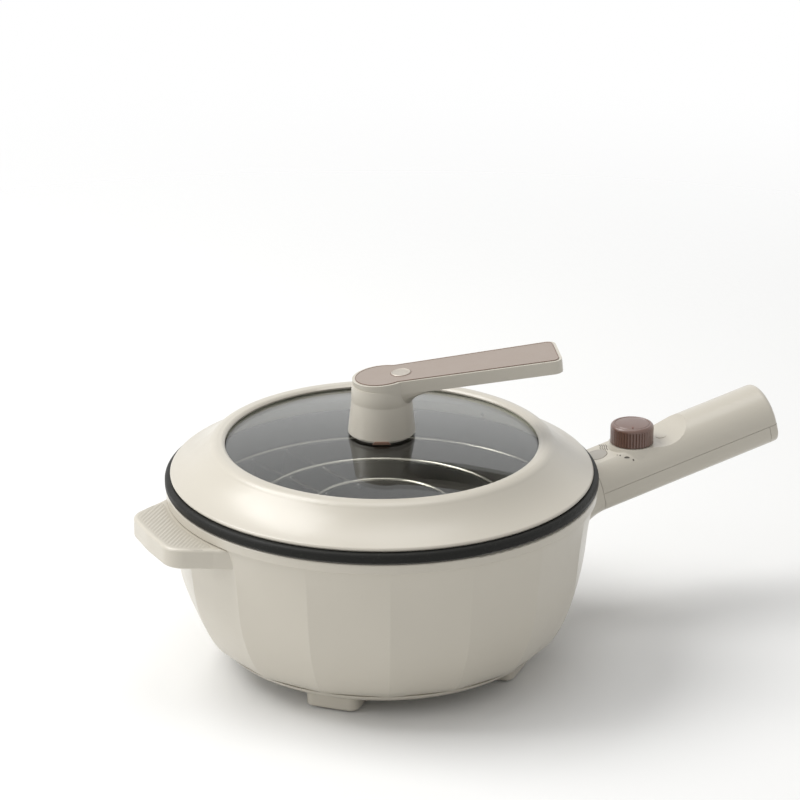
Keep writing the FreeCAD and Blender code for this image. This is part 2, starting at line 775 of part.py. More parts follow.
def make_inlet():
    """The recessed three-pin mains inlet behind the end cap's mouth."""
    end = size("grip_end")
    body = new_body("inlet_socket", HANDLE)
    block = outline(body, "block_face", "YZ_Plane", [
        (8.8, -5.4), (-8.8, -5.4), (-8.8, -13.0), (8.8, -13.0)], lift=end - 22.0)
    pushed(body, "block", block, 21.6)
    recess = outline(body, "recess_face", "YZ_Plane", [
        (7.6, -6.4), (-7.6, -6.4), (-7.6, -12.0), (7.6, -12.0)], lift=end - 14.0)
    pushed(body, "recess", recess, 16.0, removes=True, back=True)
    pins = new_body("inlet_pins", HANDLE)
    for number, place in enumerate((-4.6, 0.0, 4.6)):
        blade = outline(pins, "pin_%d_face" % number, "YZ_Plane", [
            (place + 0.8, -8.0), (place - 0.8, -8.0), (place - 0.8, -10.6),
            (place + 0.8, -10.6)], lift=end - 14.0)
        pushed(pins, "pin_%d" % number, blade, 9.0)


def make_handle_screws():
    """Two screws from below that hold the handle's halves together."""
    low = float(sheet.grip_low)
    body = new_body("handle_screws", HANDLE)
    for number, place in enumerate(SCREW_PLACES):
        head = disc(body, "screw_head_%d" % number, "XY_Plane", place, 0, 2.6, lift=low + 3.0)
        pushed(body, "head_%d" % number, head, 2.0)
        stem = disc(body, "screw_stem_%d" % number, "XY_Plane", place, 0, size("screw_radius"),
                    lift=low + 4.0)
        pushed(body, "stem_%d" % number, stem, 16.5)


def make_switch():
    """The rotary switch under the knob, with its threaded neck and nut."""
    x = size("knob_place")
    rest = size("rest_high")
    body = new_body("rotary_switch", at(x, 0, 0))
    case = outline(body, "case_outline", "XY_Plane", [
        (12.0, -10.0), (12.0, 10.0), (-12.0, 10.0), (-12.0, -10.0)], lift=rest - 21.0)
    pushed(body, "case", case, 11.4)
    neck = disc(body, "neck_outline", "XY_Plane", 0, 0, 4.5, lift=rest - 10.0)
    pushed(body, "neck", neck, 13.0)
    bore = disc(body, "shaft_bore", "XY_Plane", 0, 0, size("shaft_radius") + 0.05,
                lift=rest - 16.0)
    pushed(body, "bore", bore, 30.0, removes=True, back=True)
    nut = new_body("switch_nut", at(x, 0, 0))
    points = [(6.9 * math.cos(math.radians(60.0 * n)), 6.9 * math.sin(math.radians(60.0 * n)))
              for n in range(6)]
    hexagon = outline(nut, "nut_outline", "XY_Plane", points, lift=rest + 0.05)
    pushed(nut, "nut", hexagon, 2.2)
    hole = disc(nut, "nut_bore", "XY_Plane", 0, 0, 4.5, lift=rest - 1.0)
    pushed(nut, "nut_hole", hole, 6.0, removes=True, back=True)


def make_lamp():
    """The indicator lens flush in the deck, and the small lamp under it."""
    place = in_handle(size("lens_place"), 110.6)[0]
    deck = size("deck_high")
    lens = new_body("indicator_lens", handle_frame_lift(place, 0))
    turned(lens, "disc", [(0, deck - 2.6), (size("lens_radius"), deck - 2.6),
                          (size("lens_radius"), deck - 0.2),
                          (size("lens_radius") - 0.4, deck + 0.2), (0, deck + 0.45)])
    lamp = new_body("indicator_lamp", handle_frame_lift(place, 0))
    turned(lamp, "bulb", [(0, 3.6), (3.3, 3.6), (3.3, 5.0), (3.0, 5.0), (3.0, 8.4),
                          (1.6, 10.2, 2.6), (0, 10.2)])


def make_knob():
    """The control knob: a fluted cap on a metal shaft."""
    x = size("knob_place")
    low = size("knob_low")
    high = low + size("knob_height")
    radius = size("knob_radius")
    body = new_body("control_knob", at(x, 0, 0))
    turned(body, "cap", [
        (size("shaft_radius"), low + 3.6), (9.0, low + 3.6), (11.4, low), (radius, low),
        (radius, high - 2.2), (radius - 1.6, high, 2.4), (radius - 2.4, high),
        (radius - 2.8, high - 0.35), (radius - 3.2, high), (2.0, high + 0.5, 120.0),
        (0, high + 0.5), (0, high - 2.4), (size("shaft_radius"), high - 2.4)])
    flute = outline(body, "flute_outline", "XY_Plane", [
        (radius - 0.45, 0.0), (radius + 0.5, -0.75), (radius + 0.5, 0.75)], lift=low - 0.5)
    first = pushed(body, "flute", flute, size("knob_height") - 1.9, removes=True, back=True)
    repeated(body, "flutes", first, flute, "N_Axis", 44)
    shaft = new_body("switch_shaft", at(x, 0, 0))
    face = disc(shaft, "shaft_outline", "XY_Plane", 0, 0, size("shaft_radius"),
                lift=size("rest_high") - 15.8)
    pushed(shaft, "shaft", face, high - 2.4 - size("rest_high") + 15.8)


def make_rack():
    """Three wire rings welded on to three bent legs."""
    plane = size("rack_high")
    wire = size("ring_wire")
    for label, alias in (("rack_ring_outer", "ring_outer"), ("rack_ring_middle", "ring_middle"),
                         ("rack_ring_inner", "ring_inner")):
        solid("Torus", label, at(0, 0, plane), Radius1=size(alias), Radius2=wire)
    for number in range(3):
        label = "rack_leg_%d" % (number + 1)
        leg = doc.addObject("Part::Feature", label)
        leg.Label = label
        leg.Shape = leg_shape()
        leg.Placement = at(0, 0, 0, UP, float(sheet.leg_angle) + 120.0 * number)


def leg_shape():
    """One wire leg: two runs out under the rings, bent down into a narrow V."""
    run = float(sheet.rack_high - sheet.ring_wire - sheet.leg_wire + sheet.weld)
    half = float(sheet.leg_half)
    out = float(sheet.leg_bend_place)
    foot_x = float(sheet.leg_foot_place)
    foot_z = run - float(sheet.leg_drop)
    inner = float(sheet.ring_inner) - 4.0
    points = [V(inner, half - 1.0, run), V(out, half, run), V(foot_x, 5.0, foot_z),
              V(foot_x, -5.0, foot_z), V(out, -half, run), V(inner, 1.0 - half, run)]
    path = bent_path(points, 5.0)
    start = points[1] - points[0]
    ring = Part.Wire(Part.makeCircle(float(sheet.leg_wire), points[0], start))
    return path.makePipeShell([ring], True, False)


def bent_path(points, bend):
    """Straight runs joined by tangent arcs of one bend radius."""
    edges = []
    last = points[0]
    for before, here, after in zip(points, points[1:], points[2:]):
        back = (before - here).normalize()
        ahead = (after - here).normalize()
        half_angle = back.getAngle(ahead) / 2
        reach = bend / math.tan(half_angle)
        enter = here + back * reach
        leave = here + ahead * reach
        centre = here + (back + ahead).normalize() * (bend / math.sin(half_angle))
        middle = centre + (here - centre).normalize() * bend
        edges.append(Part.LineSegment(last, enter).toShape())
        edges.append(Part.Arc(enter, middle, leave).toShape())
        last = leave
    edges.append(Part.LineSegment(last, points[-1]).toShape())
    return Part.Wire(edges)


def make_lid():
    """The lid's moulded ring, its glass dome and the seal between them."""
    skirt = size("skirt_radius")
    low = size("skirt_low")
    opening = size("opening_radius")
    crest = size("opening_high")
    plug = size("plug_radius")
    base = size("plug_low")
    body = new_body("lid_ring_blank")
    turned(body, "ring", [
        (opening, crest - 0.9), (opening, crest), (opening + 2.2, crest + 1.5, -3.2),
        (opening + 5.0, crest + 1.5), (opening + 10.6, crest - 1.6, -7.4),
        (skirt - 0.8, low + 2.6, 62.0), (skirt, low + 1.0, -1.6), (skirt - 0.8, low),
        (plug, low), (plug, base + 1.0), (plug - 1.0, base, -1.0),
        (size("plug_inner") + 1.0, base), (size("plug_inner"), base + 1.0, -1.0),
        (size("plug_inner"), low + 0.5), (104.8, 137.8), (104.8, crest - 0.9),
    ])
    across = at(0, 0, size("skirt_low") - 2.8, UP, size("vent_angle")).multiply(
        at(0, 0, 0, LEVEL, 90.0))
    less("lid_ring", body, solid("Cylinder", "vent", across, Radius=size("vent_radius"),
                                 Height=skirt))
    sphere = size("glass_sphere")
    edge = size("glass_radius")
    top = size("glass_top")
    drop = glass_drop(float(edge))
    thick = size("glass_thick")
    glass = new_body("lid_glass")
    turned(glass, "dome", [
        (4.0, top - glass_drop(4.0) - thick), (edge, top - drop - thick, -sphere),
        (edge, top - drop), (4.0, top - glass_drop(4.0), sphere)])
    seal = new_body("glass_seal")
    under = crest - 0.9
    turned(seal, "channel", [
        (98.2, top - glass_drop(98.2) + 0.1), (98.2, under), (104.7, under), (104.7, 136.6),
        (98.6, 136.6), (98.6, top - drop - thick - 0.35),
        (edge + 0.15, top - drop - thick - 0.35), (edge + 0.15, top - drop + 0.12)])


def glass_drop(radius):
    """How far the glass dome has fallen at a radius."""
    sphere = float(sheet.glass_sphere)
    return sphere - math.sqrt(sphere ** 2 - float(radius) ** 2)


def arm_plan(inset=0.0):
    """The lid handle's plan: a round post end and a wider outer end."""
    end = float(sheet.arm_length) - inset
    root = float(sheet.arm_root_half) - inset * 0.8
    far = float(sheet.arm_end_half) - inset
    radius = float(sheet.post_high_radius) - inset
    corner = 6.0 - inset
    start = math.sqrt(radius ** 2 - root ** 2)
    slope = (far - root) / (end - start)
    return [
        (start, root), (0.0, radius, radius),
        (-radius, 0.0, radius), (0.0, -radius, radius), (start, -root, radius),
        (end - corner, -far + slope * corner), (end, corner - far, corner),
        (end, far - corner), (end - corner, far - slope * corner, corner),
    ]


# The blend under the lid's arm: height, reach, half width and corner of each section
BLEND_LEVELS = (
    (165.0, 14.0, 11.0, 9.0), (170.0, 16.6, 12.6, 9.0), (174.0, 18.8, 14.0, 8.5),
    (177.0, 21.4, 15.0, 7.5), (179.3, 25.2, 15.5, 6.0), (181.2, 31.0, 15.7, 4.5),
)


def arm_blend():
    """A loft that turns the round post smoothly into the flat arm."""
    body = new_body("blend_blank", ARM)
    sections = []
    for number, (high, reach, half, corner) in enumerate(BLEND_LEVELS):
        sections.append(outline(body, "blend_%d" % number, "XY_Plane", [
            (0.0, -half), (reach - corner, -half), (reach, corner - half, corner),
            (reach, half - corner), (reach - corner, half, corner), (0.0, half),
        ], lift=high))
    lofted(body, "blend", sections)
    return body


def make_lid_handle():
    """The lid's handle: a post with a long flat arm, inlay, badge and fixings."""
    high = float(sheet.arm_high)
    tilted = ARM.multiply(at(0, 0, high, LEVEL, -float(sheet.arm_tilt)))
    arm = new_body("arm_blank", tilted)
    plan = outline(arm, "arm_outline", "XY_Plane", arm_plan(), lift=-size("arm_thick"))
    pushed(arm, "arm", plan, size("arm_thick"))
    seat = outline(arm, "inlay_seat_outline", "XY_Plane", arm_plan(1.9))
    pushed(arm, "inlay_seat", seat, 1.2, removes=True)
    post = new_body("post_blank", ARM)
    low = size("post_low")
    top = size("arm_high") - 5.0
    turned(post, "post", [
        (0, low), (size("post_low_radius") - 0.8, low), (size("post_low_radius"), low + 0.8, 0.8),
        (size("post_high_radius") + 0.4, 172.0), (size("post_high_radius"), top, 60.0),
        (0, top)])
    whole = joined("lid_handle_whole", arm, post, arm_blend())
    hole = solid("Cylinder", "handle_bore", at(0, 0, 140.0), Radius=1.9, Height=28.0)
    less("lid_handle", whole, hole)

    inlay = new_body("lid_handle_inlay", tilted)
    face = outline(inlay, "inlay_outline", "XY_Plane", arm_plan(2.05), lift=-1.2)
    pushed(inlay, "inlay", face, 1.5)
    spot = disc(inlay, "badge_hole_outline", "XY_Plane", 12.0, 0, 6.3, lift=-2.0)
    pushed(inlay, "badge_hole", spot, 6.0, removes=True, back=True)
    badge = new_body("lid_handle_badge", tilted.multiply(at(12.0, 0, 0)))
    turned(badge, "badge", [(0, -1.2), (6.15, -1.2), (6.15, 0.5), (5.6, 0.9, 0.6),
                            (5.0, 0.65), (0, 0.55)])


def make_lid_fixings():
    """The screw, washer and gasket that clamp the glass to the handle, and the clip."""
    top = size("glass_top")
    thick = size("glass_thick")
    gasket = new_body("handle_gasket")
    turned(gasket, "gasket", [
        (2.4, top + 0.05), (19.0, top - glass_drop(19.0) + 0.1), (19.0, size("post_low")),
        (2.4, size("post_low"))])
    washer = new_body("lid_washer")
    turned(washer, "washer", [
        (2.0, top - thick - 1.6), (9.0, top - thick - 1.6), (9.0, top - thick - 0.45),
        (2.0, top - thick - 0.05)])
    screw = new_body("lid_screw")
    turned(screw, "screw", [
        (0, top - thick - 4.2), (3.0, top - thick - 4.2), (4.0, top - thick - 3.2, 1.0),
        (4.0, top - thick - 1.6), (1.8, top - thick - 1.6), (1.8, top + 14.0),
        (0, top + 14.0)])
    clip = new_body("handle_clip", at(0, 0, 0, UP, -25.0))
    face = outline(clip, "clip_outline", "XZ_Plane", [
        (-5.6, top + 0.25), (5.6, top + 0.25), (4.2, top + 1.9), (-4.2, top + 1.9)],
        lift=21.0)
    pushed(clip, "clip", face, 1.2)


NODES = (
    "outer_shell", "base_cover", "foot_pad_1", "foot_pad_2", "foot_pad_3", "foot_pad_4",
    "inner_pot", "rim_gasket", "heating_plate", "heater_pins", "heater_insulators",
    "heat_shield", "thermostat", "thermal_fuse", "shield_spacers", "base_screws",
    "handle_upper", "handle_lower", "handle_end_cap", "inlet_socket", "inlet_pins",
    "handle_screws", "rotary_switch", "switch_nut", "indicator_lens", "indicator_lamp",
    "control_knob", "switch_shaft", "rack_ring_outer", "rack_ring_middle",
    "rack_ring_inner", "rack_leg_1", "rack_leg_2", "rack_leg_3", "lid_ring", "lid_glass",
    "glass_seal", "lid_handle", "lid_handle_inlay", "lid_handle_badge", "handle_gasket",
    "lid_washer", "lid_screw", "handle_clip",
)


def write_nodes():
    """Check every object and every sub-part's shape, then write the sub-parts."""
    doc.recompute()
    failed = [item.Name for item in doc.Objects
              if "Invalid" in item.State or "Error" in item.State]
    if failed:
        raise ValueError("failed objects: %s" % failed)
    shapes = {}
    for label in NODES:
        shape = doc.getObjectsByLabel(label)[0].Shape
        if shape.isNull() or not shape.isValid() or not shape.Solids:
            raise ValueError("bad shape: %s" % label)
        shapes[label] = shape
    os.makedirs("parts", exist_ok=True)
    for label, shape in shapes.items():
        shape.exportStep("parts/%s.step" % label)


STEPS = (
    make_outer_shell, make_base_cover, make_foot_pads, make_inner_pot, make_rim_gasket,
    make_heater, make_heat_shield, make_sensor, make_spacers, make_handle_upper,
    make_handle_lower, make_end_cap, make_inlet, make_handle_screws, make_switch, make_lamp,
    make_knob, make_rack, make_lid, make_lid_handle, make_lid_fixings,
)
for step in STEPS:
    step()
write_nodes()
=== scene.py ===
import json
import math

import bpy
from mathutils import Matrix, Vector


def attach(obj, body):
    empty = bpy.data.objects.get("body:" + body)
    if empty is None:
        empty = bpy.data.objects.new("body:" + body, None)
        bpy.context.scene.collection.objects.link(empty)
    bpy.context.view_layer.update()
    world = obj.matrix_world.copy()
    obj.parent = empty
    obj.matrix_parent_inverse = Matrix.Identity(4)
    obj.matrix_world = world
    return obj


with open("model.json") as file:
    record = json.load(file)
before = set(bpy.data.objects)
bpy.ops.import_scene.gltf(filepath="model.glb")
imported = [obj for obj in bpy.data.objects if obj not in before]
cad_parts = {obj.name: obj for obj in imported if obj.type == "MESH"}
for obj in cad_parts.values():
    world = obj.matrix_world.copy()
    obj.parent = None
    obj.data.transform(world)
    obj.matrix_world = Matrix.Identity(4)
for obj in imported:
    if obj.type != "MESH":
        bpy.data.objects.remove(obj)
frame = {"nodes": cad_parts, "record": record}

bl_info = {
    "name": "Hot pot look",
    "version": (1, 0, 0),
    "blender": (4, 5, 0),
    "location": "View3D > Sidebar > Hot Pot",
    "description": "Materials, printed marks and stage for an electric hot pot with lid",
    "category": "Object",
}

# The lengths below are in millimetres and the angles in degrees, and MM and degrees() turn
# them into Blender's units
MM = 0.001


def degrees(value):
    """An angle in degrees, in radians."""
    return math.radians(value)


# The long handle's own frame, its round grip's axis and radius, and its flat deck
HANDLE_START = Vector((135.0 * MM, 0.0, 92.7 * MM))
HANDLE_TURN = Matrix.Rotation(degrees(-12.35), 4, "Y")
GRIP_AXIS_HIGH = -3.7
GRIP_RADIUS = 20.6
DECK_HIGH = 13.4

# How far over the handle a mark starts before it is laid on it
DECK_CLEAR = 2.0
SIDE_CLEAR = 1.5

# The heat lines: the set's middle, the step from line to line, and each line's form
HEAT_LINE_COUNT = 4
HEAT_LINE_MIDDLE = (27.2, 5.9)
HEAT_LINE_STEP = (0.98, -1.05)
HEAT_LINE_TURN = -20.0
HEAT_LINE_LENGTH = 8.2
HEAT_LINE_WAVE = 0.3
HEAT_LINE_HALF_WAVES = 3.0
HEAT_LINE_CELLS = (2, 16)

# The dial marks, each with its place along the handle, its angle up the handle's side, its
# width, its length, whether it is a half moon, and how far it leans in the surface
DIAL_MARKS = (
    (28.6, 58.5, 0.9, 0.7, False, 0.0),
    (29.9, 54.5, 1.1, 0.9, False, 0.0),
    (33.1, 45.3, 2.2, 3.6, True, -22.0),
    (36.4, 37.6, 1.5, 1.0, False, 0.0),
)
HALF_MOON_SHARE = 0.25
MARK_CORNERS = 24
MARK_INSET = 0.35

# The knob's middle at its top, and its pointer's direction, place and size
KNOB_CENTRE = Vector((176.0 * MM, 0.0, 127.4 * MM))
POINTER_ANGLE = -115.0
POINTER_REACH = 8.6
POINTER_LIFT = 0.1
POINTER_SIZE = (2.8, 0.9, 0.7)
POINTER_BEVEL = 0.25
POINTER_BEVEL_STEPS = 3
POINTER_SMOOTH_ANGLE = 40.0

# The side grip in plan: its end with its bow, its slanting side and that side's facing,
# the middle and radius of its round corner, and the radius of the wall that it meets
GRIP_END = -157.5
GRIP_END_BOW = 1.5
GRIP_END_HALF = 31.0
GRIP_SIDE_START = (-132.0, 43.0)
GRIP_SIDE_FACING = (0.4472, 0.8944)
GRIP_CORNER = (-141.8, 21.2)
GRIP_CORNER_RADIUS = 15.0
WALL_RADIUS = 134.2
GRIP_TOP = 110.5
GRIP_ROUNDING = 2.0

# The part of the sunk panel's side that nears the grip's edge
PANEL_SIDE = ((-138.1, 39.2), (-145.3, 33.05))

# The rib pad: its grid, how far its edge stays off the grip's edge and the wall, how far
# the edge sinks in and the inside stands up, and its ribs
PAD_CELLS = (84, 292)
PAD_MIDDLE = -144.0
PAD_SIZE = (25.0, 88.0)
PAD_EDGE_MARGIN = 2.3
PAD_WALL_MARGIN = 1.2
PAD_PANEL_MARGIN = 1.5
PAD_LEAST_MARGIN = 0.1
PAD_SINK = 0.12
PAD_STAND = 0.17
PAD_STAND_RUN = 0.5
PAD_THICKNESS = 0.3
RIB_PITCH = 2.593
RIB_RISE = 0.22
RIB_FADE = (0.7, 2.2)

# The rack at rest: its rings' radii, its legs' directions, the two ends of a leg's run
# (along, across) and the plane where rings and legs touch
RACK_RADII = (117.9, 78.6, 43.4)
LEG_ANGLES = (-16.5, 103.5, 223.5)
LEG_INNER = (39.4, 13.0)
LEG_OUTER = (118.5, 14.0)
WELD_PLANE = 97.95
BEAD_STRETCH = (1.15, 0.95, 0.8)
BEAD_CELLS = (20, 10)
WELD_ROUNDS = 8

# The painted shadow line round the inlay: a face whose normal stands this straight up belongs
# to the inlay's top, and corners nearer than this are one corner
TOP_FACING = 0.9
SAME_CORNER = 0.01
EDGE_LINE_STEPS = 2
EDGE_LINE_SMOOTH_ANGLE = 60.0

# The Mix node's sockets when it mixes colours
MIX_FACTOR, MIX_FIRST, MIX_SECOND, MIX_RESULT = 0, 6, 7, 2

# Nearly all of a noise texture's values lie in this range
NOISE_RANGE = (0.3, 0.7)

# The dark of a metal's streaks, how strong a coating's flecks are, and the painted shade that
# makes the side grip's ribs darker than the cream, though they are the same plastic
STREAK_COLOUR = (0.12, 0.11, 0.10)
FLECK_STRENGTH = 0.5
RIB_PAINTED_SHADE = 0.88

# The stage in metres: where the camera aims from the rim's middle, the lights (name,
# place, size, colour), what they point at, and where the floor fades out
RIM_CENTRE = Vector((0.0, 0.0, 0.118))
AIM_RIGHT = 0.0113
AIM_UP = 0.0499
SENSOR_WIDTH = 36.0
KEY_LIGHT = ("key", (-1.15, 0.75, 2.05), 1.5, (1.0, 0.997, 0.99))
TOP_LIGHT = ("top", (0.25, 0.05, 2.3), 1.1, (1.0, 1.0, 1.0))
SIDE_LIGHT = ("side", (-2.1, 0.35, 0.75), 1.1, (1.0, 1.0, 1.0))
LIGHT_TARGET = Vector((0.02, 0.0, 0.12))
FLOOR_SIZE = 12.0
FLOOR_FADE = (0.45, 1.3)


def srgb(red, green, blue):
    """A colour as read off a picture, in the linear values that the shaders take."""
    channels = []
    for value in (red, green, blue):
        share = value / 255.0
        low = share <= 0.04045
        channels.append(share / 12.92 if low else ((share + 0.055) / 1.055) ** 2.4)
    return tuple(channels)


def colour_property(label, about, value):
    """A colour that the user can set."""
    return bpy.props.FloatVectorProperty(
        name=label, description=about, subtype="COLOR", size=3, min=0.0, max=1.0,
        default=value)


def length_property(label, about, value):
    """A length that the user can set, in metres in Blender."""
    return bpy.props.FloatProperty(
        name=label, description=about, unit="LENGTH", subtype="DISTANCE", min=0.0,
        default=value)


def angle_property(label, about, value):
    """An angle that the user can set, in radians in Blender."""
    return bpy.props.FloatProperty(
        name=label, description=about, unit="ROTATION", subtype="ANGLE", default=value)


class HotPotColours(bpy.types.PropertyGroup):
    """The colours of the pieces that a user may want to repaint."""

    cream: colour_property("Cream", "Body, handle and lid ring", srgb(194, 188, 175))
    inlay: colour_property("Inlay", "Plate on the lid's arm", srgb(152, 139, 129))
    knob: colour_property("Knob", "Control knob", srgb(98, 66, 52))
    coating: colour_property("Coating", "Cooking pot's non-stick coat", srgb(31, 31, 29))
    print_colour: colour_property("Print", "Marks round the knob", srgb(84, 79, 72))
    lens: colour_property("Lens", "Indicator lens", srgb(156, 151, 141))


class HotPotSizes(bpy.types.PropertyGroup):
    """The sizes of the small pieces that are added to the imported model."""

    stroke: length_property("Stroke", "Width of a heat line", 0.45 * MM)
    print_height: length_property("Print height", "How far the marks stand up", 0.08 * MM)
    bead: length_property("Weld bead", "Radius of a weld bead on the rack", 1.5 * MM)
    # The radius of the painted shadow line round the inlay
    edge_line: length_property("Edge line", "Radius of the line round the inlay", 0.22 * MM)


class HotPotStage(bpy.types.PropertyGroup):
    """The camera and the lights."""

    azimuth: angle_property("Azimuth", "Camera's direction round the pot", degrees(-25.0))
    elevation: angle_property("Elevation", "Camera's height over the horizon", degrees(20.75))
    distance: length_property("Distance", "From the camera to the rim's middle", 2.6)
    focal: bpy.props.FloatProperty(
        name="Focal length", description="In millimetres, on a 36 mm sensor", default=187.9)
    key_power: bpy.props.FloatProperty(
        name="Key light", description="Power of the main light, in watts", unit="POWER",
        default=41.5)
    top_power: bpy.props.FloatProperty(
        name="Top light", description="Power of the light overhead, in watts", unit="POWER",
        default=7.5)
    fill_power: bpy.props.FloatProperty(
        name="Side light", description="Power of the light from the left, in watts",
        unit="POWER", default=9.0)
    sky: bpy.props.FloatProperty(
        name="Sky", description="Strength of the even light from all round", default=0.52)


# Shader helpers

def add(tree, kind, inputs=None, **options):
    """Add a shader node, set its options, and feed its inputs with sockets or numbers."""
    node = tree.nodes.new("ShaderNode" + kind)
    for name, value in options.items():
        setattr(node, name, value)
    for name, value in (inputs or {}).items():
        feed(tree, node.inputs[name], value)
    return node


def feed(tree, socket, value):
    """Link a socket to another, or set its value. A colour of three gets a full alpha."""
    if isinstance(value, bpy.types.NodeSocket):
        tree.links.new(value, socket)
    elif socket.type == "RGBA" and len(value) == 3:
        socket.default_value = (*value, 1.0)
    else:
        socket.default_value = value


def blended(tree, factor, first, second):
    """Mix two colours and give the mixed colour's socket."""
    node = tree.nodes.new("ShaderNodeMix")
    node.data_type = "RGBA"
    feed(tree, node.inputs[MIX_FACTOR], factor)
    feed(tree, node.inputs[MIX_FIRST], first)
    feed(tree, node.inputs[MIX_SECOND], second)
    return node.outputs[MIX_RESULT]


def spread(tree, value, low, high, to_low, to_high):
    """Stretch one range of numbers on to another."""
    node = add(tree, "MapRange", {"Value": value, "From Min": low, "From Max": high,
                                  "To Min": to_low, "To Max": to_high})
    return node.outputs["Result"]


def new_group(name, inputs, outputs):
    """Start a node group with named sockets. Each is a (name, kind, default)."""
    tree = bpy.data.node_groups.new(name, "ShaderNodeTree")
    for title, kind, default in inputs:
        socket = tree.interface.new_socket(title, in_out="INPUT",
                                           socket_type="NodeSocket" + kind)
        socket.default_value = default
    for title, kind in outputs:
        tree.interface.new_socket(title, in_out="OUTPUT", socket_type="NodeSocket" + kind)
    start = tree.nodes.new("NodeGroupInput")
    end = tree.nodes.new("NodeGroupOutput")
    return tree, start.outputs, end.inputs


def use_group(tree, group, inputs):
    """Put a node group into a material's tree."""
    node = tree.nodes.new("ShaderNodeGroup")
    node.node_tree = group
    for name, value in inputs.items():
        feed(tree, node.inputs[name], value)
    return node.outputs


def noise(tree, place, scale, detail=2.0):
    """Add a noise texture and give its value's socket."""
    node = add(tree, "TexNoise", {"Vector": place, "Scale": scale, "Detail": detail})
    return node.outputs["Fac"]


def uneven(tree, texture, value, less, more):
    """A value that a noise texture makes a little less here and a little more there."""
    change = spread(tree, texture, *NOISE_RANGE, -less, more)
    return add(tree, "Math", {0: change, 1: value}, operation="ADD").outputs[0]


def mould_group():
    """Moulded plastic or rubber: faint cloudiness, fine grain and uneven gloss."""
    tree, given, out = new_group("Moulded Grain", (
        ("Colour", "Color", (0.8, 0.8, 0.8, 1.0)), ("Cloud", "Float", 0.06),
        ("Grain Scale", "Float", 2400.0), ("Grain Depth", "Float", 0.08),
        ("Roughness", "Float", 0.4),
    ), (("Colour", "Color"), ("Roughness", "Float"), ("Normal", "Vector")))
    place = add(tree, "TexCoord").outputs["Object"]
    cloud = noise(tree, place, scale=26.0, detail=3.0)
    amount = add(tree, "Math", {0: cloud, 1: given["Cloud"]}, operation="MULTIPLY").outputs[0]
    shade = add(tree, "HueSaturation", {"Color": given["Colour"], "Saturation": 1.15,
                                        "Value": 0.72}).outputs["Color"]
    feed(tree, out["Colour"], blended(tree, amount, given["Colour"], shade))
    grain = noise(tree, place, given["Grain Scale"], detail=1.5)
    gloss = noise(tree, place, scale=90.0)
    feed(tree, out["Roughness"], uneven(tree, gloss, given["Roughness"], 0.035, 0.035))
    bump = add(tree, "Bump", {"Strength": given["Grain Depth"], "Distance": 0.0004,
                              "Height": grain})
    feed(tree, out["Normal"], bump.outputs["Normal"])
    return tree


def fleck_group():
    """A sprayed coating: tiny light flecks over a dark ground, with an orange-peel skin."""
    tree, given, out = new_group("Flecked Coating", (
        ("Colour", "Color", (0.05, 0.05, 0.05, 1.0)), ("Fleck", "Color", (0.4, 0.4, 0.4, 1.0)),
        ("Fleck Scale", "Float", 900.0), ("Fleck Size", "Float", 0.16),
        ("Roughness", "Float", 0.42),
    ), (("Colour", "Color"), ("Roughness", "Float"), ("Normal", "Vector")))
    place = add(tree, "TexCoord").outputs["Object"]
    cells = add(tree, "TexVoronoi", {"Vector": place, "Scale": given["Fleck Scale"]},
                feature="F1")
    near = add(tree, "Math", {0: cells.outputs["Distance"], 1: given["Fleck Size"]},
               operation="LESS_THAN").outputs[0]
    some = add(tree, "Math", {0: noise(tree, place, scale=420.0), 1: 0.5},
               operation="GREATER_THAN").outputs[0]
    mask = add(tree, "Math", {0: near, 1: some}, operation="MULTIPLY").outputs[0]
    mask = add(tree, "Math", {0: mask, 1: FLECK_STRENGTH}, operation="MULTIPLY").outputs[0]
    feed(tree, out["Colour"], blended(tree, mask, given["Colour"], given["Fleck"]))
    gloss = noise(tree, place, scale=60.0)
    feed(tree, out["Roughness"], uneven(tree, gloss, given["Roughness"], 0.05, 0.05))
    bump = add(tree, "Bump", {"Strength": 0.12, "Distance": 0.0004,
                              "Height": noise(tree, place, scale=700.0)})
    feed(tree, out["Normal"], bump.outputs["Normal"])
    return tree


def metal_group():
    """Drawn or pressed metal: fine uneven streaks in colour and gloss."""
    tree, given, out = new_group("Worked Metal", (
        ("Colour", "Color", (0.7, 0.7, 0.7, 1.0)), ("Streak Scale", "Float", 300.0),
        ("Unevenness", "Float", 0.12), ("Roughness", "Float", 0.2),
    ), (("Colour", "Color"), ("Roughness", "Float"), ("Normal", "Vector")))
    place = add(tree, "TexCoord").outputs["Object"]
    stretched = add(tree, "Mapping", {"Vector": place, "Scale": (1.0, 1.0, 3.5)})
    streak = noise(tree, stretched.outputs["Vector"], given["Streak Scale"], detail=4.0)
    amount = add(tree, "Math", {0: streak, 1: given["Unevenness"]},
                 operation="MULTIPLY").outputs[0]
    feed(tree, out["Colour"], blended(tree, amount, given["Colour"], STREAK_COLOUR))
    feed(tree, out["Roughness"], uneven(tree, streak, given["Roughness"], 0.05, 0.07))
    bump = add(tree, "Bump", {"Strength": 0.06, "Distance": 0.0003, "Height": streak})
    feed(tree, out["Normal"], bump.outputs["Normal"])
    return tree


def new_material(name):
    """An empty material with a Principled shader and an output."""
    material = bpy.data.materials.new(name)
    material.use_nodes = True
    tree = material.node_tree
    tree.nodes.clear()
    shader = add(tree, "BsdfPrincipled")
    end = add(tree, "OutputMaterial", {"Surface": shader.outputs[0]})
    return material, tree, shader, end


def surface(name, group, inputs, **constants):
    """A material whose colour, roughness and normal come from a node group."""
    material, tree, shader, _ = new_material(name)
    made = use_group(tree, group, inputs)
    feed(tree, shader.inputs["Base Color"], made["Colour"])
    feed(tree, shader.inputs["Roughness"], made["Roughness"])
    feed(tree, shader.inputs["Normal"], made["Normal"])
    for title, value in constants.items():
        shader.inputs[title.replace("_", " ")].default_value = value
    return material


